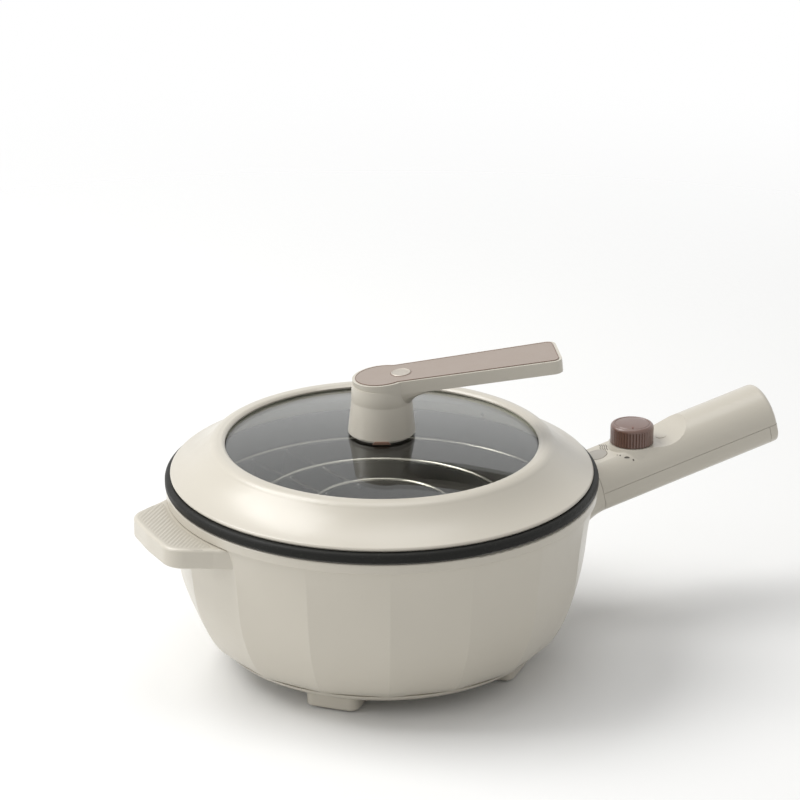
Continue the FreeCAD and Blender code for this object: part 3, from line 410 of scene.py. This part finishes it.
def polished_wire(name, group):
    """Polished stainless wire, whose edges get painted shade that turns them dark as round
    bright wire looks.
    """
    material, tree, shader, _ = new_material(name)
    made = use_group(tree, group, {"Colour": srgb(190, 184, 177), "Streak Scale": 260.0,
                                   "Unevenness": 0.12, "Roughness": 0.13})
    # Painted shade: the colour darkens to a dark brown where the wire's surface turns away
    # from the view
    facing = add(tree, "LayerWeight", {"Blend": 0.42}).outputs["Facing"]
    edge = spread(tree, facing, 0.18, 0.7, 0.0, 1.0)
    feed(tree, shader.inputs["Base Color"],
         blended(tree, edge, made["Colour"], srgb(58, 50, 44)))
    feed(tree, shader.inputs["Roughness"], made["Roughness"])
    feed(tree, shader.inputs["Normal"], made["Normal"])
    shader.inputs["Metallic"].default_value = 1.0
    return material


def clear_glass(name):
    """Toughened glass that lets light through to what is under it."""
    material, tree, shader, end = new_material(name)
    place = add(tree, "TexCoord").outputs["Object"]
    cloud = noise(tree, place, scale=9.0)
    tint = blended(tree, cloud, srgb(234, 236, 232), srgb(229, 232, 228))
    smear = noise(tree, place, scale=34.0, detail=4.0)
    smear = spread(tree, smear, 0.4, 0.8, 0.0, 0.03)
    feed(tree, shader.inputs["Base Color"], tint)
    feed(tree, shader.inputs["Roughness"], smear)
    shader.inputs["IOR"].default_value = 1.46
    shader.inputs["Transmission Weight"].default_value = 1.0
    clear = add(tree, "BsdfTransparent", {"Color": srgb(237, 239, 236)})
    ray = add(tree, "LightPath")
    passing = add(tree, "Math", {0: ray.outputs["Is Shadow Ray"],
                                 1: ray.outputs["Is Diffuse Ray"]}, operation="MAXIMUM")
    mixed = add(tree, "MixShader", {0: passing.outputs[0], 1: shader.outputs[0],
                                    2: clear.outputs[0]})
    feed(tree, end.inputs["Surface"], mixed.outputs[0])
    return material


def all_materials(colours):
    """Every material by the record's slot name."""
    mould, fleck, metal = mould_group(), fleck_group(), metal_group()
    cream = tuple(colours.cream)
    plastic = {"Grain Scale": 2600.0, "Grain Depth": 0.1, "Cloud": 0.1}
    return {
        "cream_plastic": surface("cream_plastic", mould, {
            **plastic, "Colour": cream, "Roughness": 0.33}, Specular_IOR_Level=0.55,
            Coat_Weight=0.35, Coat_Roughness=0.22),
        # cream_ribs is the cream darkened by painted shade: the ribs are the same plastic as
        # the cream
        "cream_ribs": surface("cream_ribs", mould, {
            **plastic, "Colour": tuple(RIB_PAINTED_SHADE * channel for channel in cream),
            "Roughness": 0.42}),
        "badge": surface("badge", metal, {
            "Colour": srgb(188, 181, 170), "Roughness": 0.38}, Metallic=0.5),
        "cream_silicone": surface("cream_silicone", mould, {
            "Colour": srgb(214, 209, 198), "Roughness": 0.62, "Grain Scale": 1500.0}),
        "pad_rubber": surface("pad_rubber", mould, {
            "Colour": srgb(139, 134, 128), "Roughness": 0.78, "Grain Scale": 1400.0}),
        "grey_silicone": surface("grey_silicone", mould, {
            "Colour": srgb(124, 122, 118), "Roughness": 0.6, "Grain Scale": 1400.0}),
        "dark_coating": surface("dark_coating", fleck, {
            "Colour": tuple(colours.coating), "Fleck": srgb(92, 90, 86),
            "Roughness": 0.46}, Specular_IOR_Level=0.14),
        "cast_aluminium": surface("cast_aluminium", metal, {
            "Colour": srgb(198, 198, 196), "Roughness": 0.45, "Streak Scale": 500.0},
            Metallic=1.0),
        "bright_steel": surface("bright_steel", metal, {
            "Colour": srgb(208, 207, 204), "Roughness": 0.22}, Metallic=1.0),
        "zinc_steel": surface("zinc_steel", metal, {
            "Colour": srgb(186, 190, 192), "Roughness": 0.36, "Streak Scale": 120.0,
            "Unevenness": 0.3}, Metallic=1.0),
        "brass_pins": surface("brass_pins", metal, {
            "Colour": srgb(214, 182, 106), "Roughness": 0.24}, Metallic=1.0),
        "white_ceramic": surface("white_ceramic", mould, {
            "Colour": srgb(236, 233, 226), "Roughness": 0.55, "Grain Scale": 900.0}),
        "glass_sleeve": surface("glass_sleeve", mould, {
            "Colour": srgb(232, 226, 210), "Roughness": 0.8, "Grain Scale": 1100.0,
            "Grain Depth": 0.5}),
        "black_plastic": surface("black_plastic", mould, {
            **plastic, "Colour": srgb(48, 47, 46), "Roughness": 0.5}),
        "grey_lens": surface("grey_lens", mould, {
            "Colour": tuple(colours.lens), "Roughness": 0.24, "Grain Scale": 600.0,
            "Grain Depth": 0.03}, Coat_Weight=0.5),
        "amber_lamp": surface("amber_lamp", mould, {
            "Colour": srgb(228, 150, 62), "Roughness": 0.15, "Grain Depth": 0.02}),
        "brown_plastic": surface("brown_plastic", mould, {
            **plastic, "Colour": tuple(colours.knob), "Roughness": 0.36},
            Specular_IOR_Level=0.7, Coat_Weight=0.55, Coat_Roughness=0.3),
        "mauve_inlay": surface("mauve_inlay", mould, {
            **plastic, "Colour": tuple(colours.inlay), "Roughness": 0.42}),
        "brown_clip": surface("brown_clip", mould, {
            **plastic, "Colour": srgb(124, 98, 84), "Roughness": 0.4}),
        "stainless_wire": polished_wire("stainless_wire", metal),
        "clear_glass": clear_glass("clear_glass"),
        "print": surface("print", mould, {
            "Colour": tuple(colours.print_colour), "Roughness": 0.6, "Grain Depth": 0.04}),
        # Painted shadow: the dark line round the inlay stands in for the shade in the gap
        # beside the plate
        "edge_line": surface("edge_line", mould, {
            "Colour": srgb(120, 98, 86), "Roughness": 0.5, "Grain Depth": 0.04}),
    }


def paint(thing, material):
    """Give an object one material."""
    thing.data.materials.clear()
    thing.data.materials.append(material)


def material_named(name):
    """A material that the materials operator made."""
    material = bpy.data.materials.get(name)
    if material is None:
        raise RuntimeError("run the materials operator first: there is no %s" % name)
    return material


# Modelling helpers

def alone(thing):
    """Make one object the only selected one, and the active one."""
    bpy.ops.object.select_all(action="DESELECT")
    thing.select_set(True)
    bpy.context.view_layer.objects.active = thing


def nothing_selected():
    """Deselect every object."""
    bpy.ops.object.select_all(action="DESELECT")


def finished(thing, name, body, material):
    """Put a piece's origin and turn at zero, name it, and let it ride on its body."""
    alone(thing)
    bpy.ops.object.transform_apply(location=True, rotation=True, scale=True)
    thing.name = name
    thing.data.name = name
    paint(thing, material_named(material))
    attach(thing, body)
    return thing


def merged(things):
    """Join several new objects into the first one."""
    nothing_selected()
    for thing in things:
        thing.select_set(True)
    bpy.context.view_layer.objects.active = things[0]
    bpy.ops.object.join()
    return things[0]


def on_handle(along, across, high):
    """A point of the long handle's frame, in metres in the scene."""
    return HANDLE_START + HANDLE_TURN @ Vector((along * MM, across * MM, high * MM))


def laid_on(thing, node, height):
    """Project a flat mesh along its own Z on to a CAD node, and give it a thickness."""
    alone(thing)
    wrap = thing.modifiers.new("lay", "SHRINKWRAP")
    wrap.target = frame["nodes"][node]
    wrap.wrap_method = "PROJECT"
    wrap.use_project_z = True
    wrap.use_negative_direction = True
    wrap.use_positive_direction = True
    wrap.offset = height
    bpy.ops.object.modifier_apply(modifier=wrap.name)
    slab = thing.modifiers.new("slab", "SOLIDIFY")
    slab.thickness = height * 2.0
    slab.offset = -1.0
    bpy.ops.object.modifier_apply(modifier=slab.name)
    return thing


def heat_line(number, sizes):
    """One wavy stroke of the warning sign beside the lens."""
    offset = number - (HEAT_LINE_COUNT - 1) / 2.0
    place = on_handle(HEAT_LINE_MIDDLE[0] + HEAT_LINE_STEP[0] * offset,
                      HEAT_LINE_MIDDLE[1] + HEAT_LINE_STEP[1] * offset,
                      DECK_HIGH + DECK_CLEAR)
    turn = (HANDLE_TURN @ Matrix.Rotation(degrees(HEAT_LINE_TURN), 4, "Z")).to_euler()
    nothing_selected()
    bpy.ops.mesh.primitive_grid_add(x_subdivisions=HEAT_LINE_CELLS[0],
                                    y_subdivisions=HEAT_LINE_CELLS[1], size=1.0,
                                    location=place, rotation=turn)
    line = bpy.context.object
    for point in line.data.vertices:
        wave = math.sin(point.co.y * HEAT_LINE_HALF_WAVES * math.pi)
        point.co.x = point.co.x * sizes.stroke + HEAT_LINE_WAVE * MM * wave
        point.co.y = point.co.y * HEAT_LINE_LENGTH * MM
    return laid_on(line, "handle_upper", sizes.print_height)


def round_mark(along, side_angle, width, length, half, lean, sizes):
    """A dot, an oval or a half moon on the handle's round side."""
    reach = GRIP_RADIUS + SIDE_CLEAR
    across = -reach * math.cos(degrees(side_angle))
    high = GRIP_AXIS_HIGH + reach * math.sin(degrees(side_angle))
    facing = HANDLE_TURN @ Matrix.Rotation(degrees(90.0 - side_angle), 4, "X")
    turn = (facing @ Matrix.Rotation(degrees(lean), 4, "Z")).to_euler()
    nothing_selected()
    bpy.ops.mesh.primitive_circle_add(vertices=MARK_CORNERS, radius=1.0, fill_type="NGON",
                                      location=on_handle(along, across, high),
                                      rotation=turn)
    mark = bpy.context.object
    bpy.ops.object.mode_set(mode="EDIT")
    bpy.ops.mesh.select_all(action="SELECT")
    bpy.ops.mesh.inset(thickness=MARK_INSET)
    bpy.ops.object.mode_set(mode="OBJECT")
    for point in mark.data.vertices:
        if half and point.co.y < 0.0:
            point.co.y *= HALF_MOON_SHARE
        point.co.x *= length * MM / 2
        point.co.y *= width * MM / 2
    return laid_on(mark, "handle_upper", sizes.print_height)


class HOTPOT_OT_materials(bpy.types.Operator):
    """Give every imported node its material."""

    bl_idname = "hotpot.materials"
    bl_label = "Paint the packed parts"

    def execute(self, context):
        made = all_materials(context.scene.hotpot_colours)
        slots = {part["node"]: part["material_slot"]
                 for part in frame["record"]["subparts"]}
        for name, thing in frame["nodes"].items():
            if slots[name] not in made:
                raise RuntimeError("no material for the slot %s" % slots[name])
            paint(thing, made[slots[name]])
        paint(frame["nodes"]["lid_handle_badge"], made["badge"])
        return {"FINISHED"}


class HOTPOT_OT_heat_lines(bpy.types.Operator):
    """Print the hot-surface sign's wavy lines on the handle's deck."""

    bl_idname = "hotpot.heat_lines"
    bl_label = "Heat lines"

    def execute(self, context):
        sizes = context.scene.hotpot_sizes
        lines = [heat_line(number, sizes) for number in range(HEAT_LINE_COUNT)]
        finished(merged(lines), "heat_lines", "pot", "print")
        return {"FINISHED"}


class HOTPOT_OT_dial_marks(bpy.types.Operator):
    """Print the setting marks beside the knob."""

    bl_idname = "hotpot.dial_marks"
    bl_label = "Dial marks"

    def execute(self, context):
        sizes = context.scene.hotpot_sizes
        marks = [round_mark(*mark, sizes) for mark in DIAL_MARKS]
        finished(merged(marks), "dial_marks", "pot", "print")
        return {"FINISHED"}


class HOTPOT_OT_knob_pointer(bpy.types.Operator):
    """Add the small raised pointer on the knob's top."""

    bl_idname = "hotpot.knob_pointer"
    bl_label = "Knob pointer"

    def execute(self, context):
        angle = degrees(POINTER_ANGLE)
        place = KNOB_CENTRE + MM * Vector((
            POINTER_REACH * math.cos(angle), POINTER_REACH * math.sin(angle), POINTER_LIFT))
        nothing_selected()
        bpy.ops.mesh.primitive_cube_add(size=1.0, location=place, rotation=(0.0, 0.0, angle))
        bar = bpy.context.object
        bar.scale = MM * Vector(POINTER_SIZE)
        bpy.ops.object.transform_apply(location=True, rotation=True, scale=True)
        bpy.ops.object.mode_set(mode="EDIT")
        bpy.ops.mesh.select_all(action="SELECT")
        bpy.ops.mesh.bevel(offset=POINTER_BEVEL * MM, segments=POINTER_BEVEL_STEPS)
        bpy.ops.object.mode_set(mode="OBJECT")
        bpy.ops.object.shade_smooth_by_angle(angle=degrees(POINTER_SMOOTH_ANGLE))
        finished(bar, "knob_pointer", "knob", "brown_plastic")
        return {"FINISHED"}


def eased(value, low, high):
    """0 below low, 1 above high, and a soft step between."""
    share = min(max((value - low) / (high - low), 0.0), 1.0)
    return share * share * (3.0 - 2.0 * share)


def inside_grip(x, y):
    """How far a point lies inside the side grip's plan, and how far clear of the wall."""
    side = abs(y)
    to_end = x - GRIP_END - GRIP_END_BOW * (side / GRIP_END_HALF) ** 2
    to_side = (GRIP_SIDE_FACING[0] * (x - GRIP_SIDE_START[0])
               + GRIP_SIDE_FACING[1] * (GRIP_SIDE_START[1] - side))
    across, along = x - GRIP_CORNER[0], side - GRIP_CORNER[1]
    past_side = -GRIP_SIDE_FACING[1] * across - GRIP_SIDE_FACING[0] * along
    depth = min(to_end, to_side)
    if along > 0.0 and past_side > 0.0:
        depth = GRIP_CORNER_RADIUS - math.hypot(across, along)
    return depth, math.hypot(x, y) - WALL_RADIUS


def off_panel_side(x, y):
    """How far a point lies from the part of the panel's side that nears the grip's edge."""
    (start_x, start_y), (end_x, end_y) = PANEL_SIDE
    run_x, run_y = end_x - start_x, end_y - start_y
    share = ((x - start_x) * run_x + (y - start_y) * run_y) / (run_x ** 2 + run_y ** 2)
    share = min(max(share, 0.0), 1.0)
    return math.hypot(x - start_x - share * run_x, y - start_y - share * run_y)


def pad_height(x, y):
    """How high the rib pad stands at a point, and how far inside the pad's edge it is."""
    depth, clear = inside_grip(x, y)
    inner = min(depth - PAD_EDGE_MARGIN, clear - PAD_WALL_MARGIN)
    beside_panel = PAD_PANEL_MARGIN - off_panel_side(x, abs(y))
    edge = min(max(inner, beside_panel), depth - PAD_LEAST_MARGIN)
    fall = max(GRIP_ROUNDING - max(depth, 0.0), 0.0)
    drop = GRIP_ROUNDING - math.sqrt(GRIP_ROUNDING ** 2 - fall ** 2)
    wave = 0.5 + 0.5 * math.cos(2.0 * math.pi * (x - y) * math.sqrt(0.5) / RIB_PITCH)
    high = GRIP_TOP - drop - PAD_SINK + PAD_STAND * eased(edge, 0.0, PAD_STAND_RUN)
    return high + RIB_RISE * wave * eased(inner, *RIB_FADE), edge


class HOTPOT_OT_grip_ribs(bpy.types.Operator):
    """Lay the soft slanting ribs over the side grip's panel."""

    bl_idname = "hotpot.grip_ribs"
    bl_label = "Side grip ribs"

    def execute(self, context):
        nothing_selected()
        bpy.ops.mesh.primitive_grid_add(x_subdivisions=PAD_CELLS[0],
                                        y_subdivisions=PAD_CELLS[1], size=1.0)
        pad = context.object
        hidden = []
        for point in pad.data.vertices:
            x = PAD_MIDDLE + PAD_SIZE[0] * point.co.x
            y = PAD_SIZE[1] * point.co.y
            high, edge = pad_height(x, y)
            point.co = Vector((x, y, high)) * MM
            if edge < 0.0:
                hidden.append(point.index)
        bpy.ops.object.mode_set(mode="EDIT")
        bpy.ops.mesh.select_mode(type="VERT")
        bpy.ops.mesh.select_all(action="DESELECT")
        bpy.ops.object.mode_set(mode="OBJECT")
        for index in hidden:
            pad.data.vertices[index].select = True
        bpy.ops.object.mode_set(mode="EDIT")
        bpy.ops.mesh.delete(type="VERT")
        bpy.ops.object.mode_set(mode="OBJECT")
        slab = pad.modifiers.new("slab", "SOLIDIFY")
        slab.thickness = PAD_THICKNESS * MM
        slab.offset = -1.0
        bpy.ops.object.modifier_apply(modifier=slab.name)
        bpy.ops.object.shade_smooth()
        # The pad is painted cream_ribs, the cream darkened by painted shade
        finished(pad, "grip_rib_pad", "pot", "cream_ribs")
        return {"FINISHED"}


class HOTPOT_OT_inlay_edge(bpy.types.Operator):
    """Draw the dark line of painted shadow round the lid handle's inlay and its badge, where
    the gap beside the plate lies in shade.
    """

    bl_idname = "hotpot.inlay_edge"
    bl_label = "Inlay edge line"

    def execute(self, context):
        source = frame["nodes"]["lid_handle_inlay"]
        plate = bpy.data.objects.new("edge", source.data.copy())
        context.scene.collection.objects.link(plate)
        alone(plate)
        bpy.ops.object.mode_set(mode="EDIT")
        bpy.ops.mesh.select_mode(type="FACE")
        bpy.ops.mesh.select_all(action="SELECT")
        bpy.ops.mesh.remove_doubles(threshold=SAME_CORNER * MM)
        bpy.ops.mesh.select_all(action="DESELECT")
        bpy.ops.object.mode_set(mode="OBJECT")
        for face in plate.data.polygons:
            face.select = face.normal.z < TOP_FACING
        bpy.ops.object.mode_set(mode="EDIT")
        bpy.ops.mesh.delete(type="FACE")
        bpy.ops.mesh.select_all(action="SELECT")
        bpy.ops.mesh.region_to_loop()
        bpy.ops.mesh.select_mode(type="EDGE")
        bpy.ops.mesh.select_all(action="INVERT")
        bpy.ops.mesh.delete(type="EDGE_FACE")
        bpy.ops.object.mode_set(mode="OBJECT")
        alone(plate)
        bpy.ops.object.convert(target="CURVE")
        line = bpy.context.object
        line.data.bevel_depth = context.scene.hotpot_sizes.edge_line
        line.data.bevel_resolution = EDGE_LINE_STEPS
        bpy.ops.object.convert(target="MESH")
        bpy.ops.object.shade_smooth_by_angle(angle=degrees(EDGE_LINE_SMOOTH_ANGLE))
        finished(bpy.context.object, "inlay_shadow_gap_line", "lid", "edge_line")
        return {"FINISHED"}


def weld_places():
    """Where the rings cross the legs' runs, with the run's direction.

    A run slants a little, so a crossing's distance along it is worked out in a few rounds.
    """
    places = []
    for angle in LEG_ANGLES:
        for side in (-1.0, 1.0):
            for radius in RACK_RADII:
                along = radius
                for _ in range(WELD_ROUNDS):
                    share = (along - LEG_INNER[0]) / (LEG_OUTER[0] - LEG_INNER[0])
                    across = LEG_INNER[1] + share * (LEG_OUTER[1] - LEG_INNER[1])
                    along = math.sqrt(radius ** 2 - across ** 2)
                turn = degrees(angle)
                x = along * math.cos(turn) - side * across * math.sin(turn)
                y = along * math.sin(turn) + side * across * math.cos(turn)
                places.append((Vector((x * MM, y * MM, WELD_PLANE * MM)), turn))
    return places


class HOTPOT_OT_rack_welds(bpy.types.Operator):
    """Add the flattened weld beads where the rack's rings cross its legs."""

    bl_idname = "hotpot.rack_welds"
    bl_label = "Rack weld beads"

    def execute(self, context):
        radius = context.scene.hotpot_sizes.bead
        nothing_selected()
        bpy.ops.mesh.primitive_uv_sphere_add(segments=BEAD_CELLS[0],
                                             ring_count=BEAD_CELLS[1], radius=radius)
        first = bpy.context.object
        bpy.ops.object.mode_set(mode="EDIT")
        bpy.ops.mesh.select_all(action="SELECT")
        bpy.ops.transform.resize(value=BEAD_STRETCH)
        bpy.ops.object.mode_set(mode="OBJECT")
        bpy.ops.object.shade_smooth()
        beads = []
        for place, turn in weld_places():
            bead = first.copy()
            bead.data = first.data.copy()
            bead.location = place
            bead.rotation_euler = (0.0, 0.0, turn)
            context.scene.collection.objects.link(bead)
            beads.append(bead)
        bpy.data.objects.remove(first)
        for bead in beads:
            alone(bead)
            bpy.ops.object.transform_apply(location=True, rotation=True, scale=True)
        finished(merged(beads), "rack_welds", "rack", "stainless_wire")
        return {"FINISHED"}


def floor_material():
    """A pale floor that fades into the white background away from the pot."""
    material, tree, shader, end = new_material("floor")
    place = add(tree, "TexCoord").outputs["Object"]
    mottle = noise(tree, place, scale=3.0)
    feed(tree, shader.inputs["Base Color"],
         blended(tree, mottle, srgb(240, 240, 239), srgb(237, 237, 236)))
    shader.inputs["Roughness"].default_value = 0.85
    shader.inputs["Specular IOR Level"].default_value = 0.1
    flat = add(tree, "VectorMath", {0: place}, operation="LENGTH").outputs["Value"]
    far = add(tree, "MapRange", {"Value": flat, "From Min": FLOOR_FADE[0],
                                  "From Max": FLOOR_FADE[1]},
              interpolation_type="SMOOTHSTEP").outputs["Result"]
    ray = add(tree, "LightPath").outputs["Is Camera Ray"]
    fade = add(tree, "Math", {0: far, 1: ray}, operation="MULTIPLY").outputs[0]
    under = add(tree, "NewGeometry").outputs["Backfacing"]
    hidden = add(tree, "Math", {0: fade, 1: under}, operation="MAXIMUM").outputs[0]
    clear = add(tree, "BsdfTransparent")
    mixed = add(tree, "MixShader", {0: hidden, 1: shader.outputs[0], 2: clear.outputs[0]})
    feed(tree, end.inputs["Surface"], mixed.outputs[0])
    return material


def white_world(sky):
    """White behind the object, and a softer even light from it."""
    world = bpy.data.worlds.new("studio")
    world.use_nodes = True
    tree = world.node_tree
    tree.nodes.clear()
    ray = add(tree, "LightPath").outputs
    seen = add(tree, "Math", {0: ray["Is Camera Ray"], 1: ray["Is Glossy Ray"]},
               operation="MAXIMUM").outputs[0]
    seen = add(tree, "Math", {0: seen, 1: ray["Is Transmission Ray"]},
               operation="MAXIMUM").outputs[0]
    strength = spread(tree, seen, 0.0, 1.0, sky, 1.0)
    light = add(tree, "Background", {"Color": (1.0, 1.0, 1.0), "Strength": strength})
    add(tree, "OutputWorld", {"Surface": light.outputs[0]})
    return world


def soft_light(light, power):
    """A square light that points at the pot."""
    name, place, size, tint = light
    nothing_selected()
    bpy.ops.object.light_add(type="AREA", location=place)
    lamp = bpy.context.object
    lamp.name = name
    lamp.data.shape = "SQUARE"
    lamp.data.size = size
    lamp.data.energy = power
    lamp.data.color = tint
    aim = LIGHT_TARGET - lamp.location
    lamp.rotation_euler = aim.to_track_quat("-Z", "Y").to_euler()


def place_camera(stage):
    """Stand the camera off the rim's middle, and aim a little above and right of it."""
    turn, rise = stage.azimuth, stage.elevation
    back = Vector((math.sin(turn) * math.cos(rise), -math.cos(turn) * math.cos(rise),
                   math.sin(rise)))
    up = Vector((-math.sin(turn) * math.sin(rise), math.cos(turn) * math.sin(rise),
                 math.cos(rise)))
    right = up.cross(back)
    aim = RIM_CENTRE + right * AIM_RIGHT + up * AIM_UP
    nothing_selected()
    bpy.ops.object.camera_add(location=aim + back * stage.distance)
    camera = bpy.context.object
    camera.rotation_euler = (-back).to_track_quat("-Z", "Y").to_euler()
    camera.data.lens = stage.focal
    camera.data.sensor_width = SENSOR_WIDTH
    camera.data.dof.use_dof = False
    bpy.context.scene.camera = camera


class HOTPOT_OT_stage(bpy.types.Operator):
    """Set up the floor, the white background, the lights and the camera."""

    bl_idname = "hotpot.stage"
    bl_label = "Stage"

    def execute(self, context):
        scene = context.scene
        stage = scene.hotpot_stage
        nothing_selected()
        bpy.ops.mesh.primitive_plane_add(size=FLOOR_SIZE)
        floor = context.object
        floor.name = "floor"
        paint(floor, floor_material())
        scene.world = white_world(stage.sky)
        soft_light(KEY_LIGHT, stage.key_power)
        soft_light(TOP_LIGHT, stage.top_power)
        soft_light(SIDE_LIGHT, stage.fill_power)
        place_camera(stage)
        scene.view_settings.view_transform = "Standard"
        return {"FINISHED"}


class HOTPOT_PT_panel(bpy.types.Panel):
    """The pieces and their sizes in the 3D view's sidebar."""

    bl_label = "Hot pot"
    bl_idname = "HOTPOT_PT_panel"
    bl_space_type = "VIEW_3D"
    bl_region_type = "UI"
    bl_category = "Hot Pot"

    def draw(self, context):
        for group in ("hotpot_colours", "hotpot_sizes", "hotpot_stage"):
            holder = getattr(context.scene, group)
            box = self.layout.box()
            for name in holder.bl_rna.properties.keys():
                if name not in ("rna_type", "name"):
                    box.prop(holder, name)
        for operator in OPERATORS:
            self.layout.operator(operator.bl_idname)


OPERATORS = (
    HOTPOT_OT_materials, HOTPOT_OT_heat_lines, HOTPOT_OT_dial_marks, HOTPOT_OT_knob_pointer,
    HOTPOT_OT_grip_ribs, HOTPOT_OT_inlay_edge, HOTPOT_OT_rack_welds, HOTPOT_OT_stage,
)
GROUPS = (
    (HotPotColours, "hotpot_colours"), (HotPotSizes, "hotpot_sizes"),
    (HotPotStage, "hotpot_stage"),
)


def register():
    """Add the property groups, the operators and the panel to Blender."""
    for group, name in GROUPS:
        bpy.utils.register_class(group)
        setattr(bpy.types.Scene, name, bpy.props.PointerProperty(type=group))
    for operator in OPERATORS:
        bpy.utils.register_class(operator)
    bpy.utils.register_class(HOTPOT_PT_panel)


def unregister():
    """Take them out again."""
    bpy.utils.unregister_class(HOTPOT_PT_panel)
    for operator in reversed(OPERATORS):
        bpy.utils.unregister_class(operator)
    for group, name in reversed(GROUPS):
        delattr(bpy.types.Scene, name)
        bpy.utils.unregister_class(group)


def main():
    """Build every piece and the stage."""
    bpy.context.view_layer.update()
    register()
    bpy.ops.hotpot.materials()
    bpy.ops.hotpot.heat_lines()
    bpy.ops.hotpot.dial_marks()
    bpy.ops.hotpot.knob_pointer()
    bpy.ops.hotpot.grip_ribs()
    bpy.ops.hotpot.inlay_edge()
    bpy.ops.hotpot.rack_welds()
    bpy.ops.hotpot.stage()


if __name__ == "__main__":
    main()
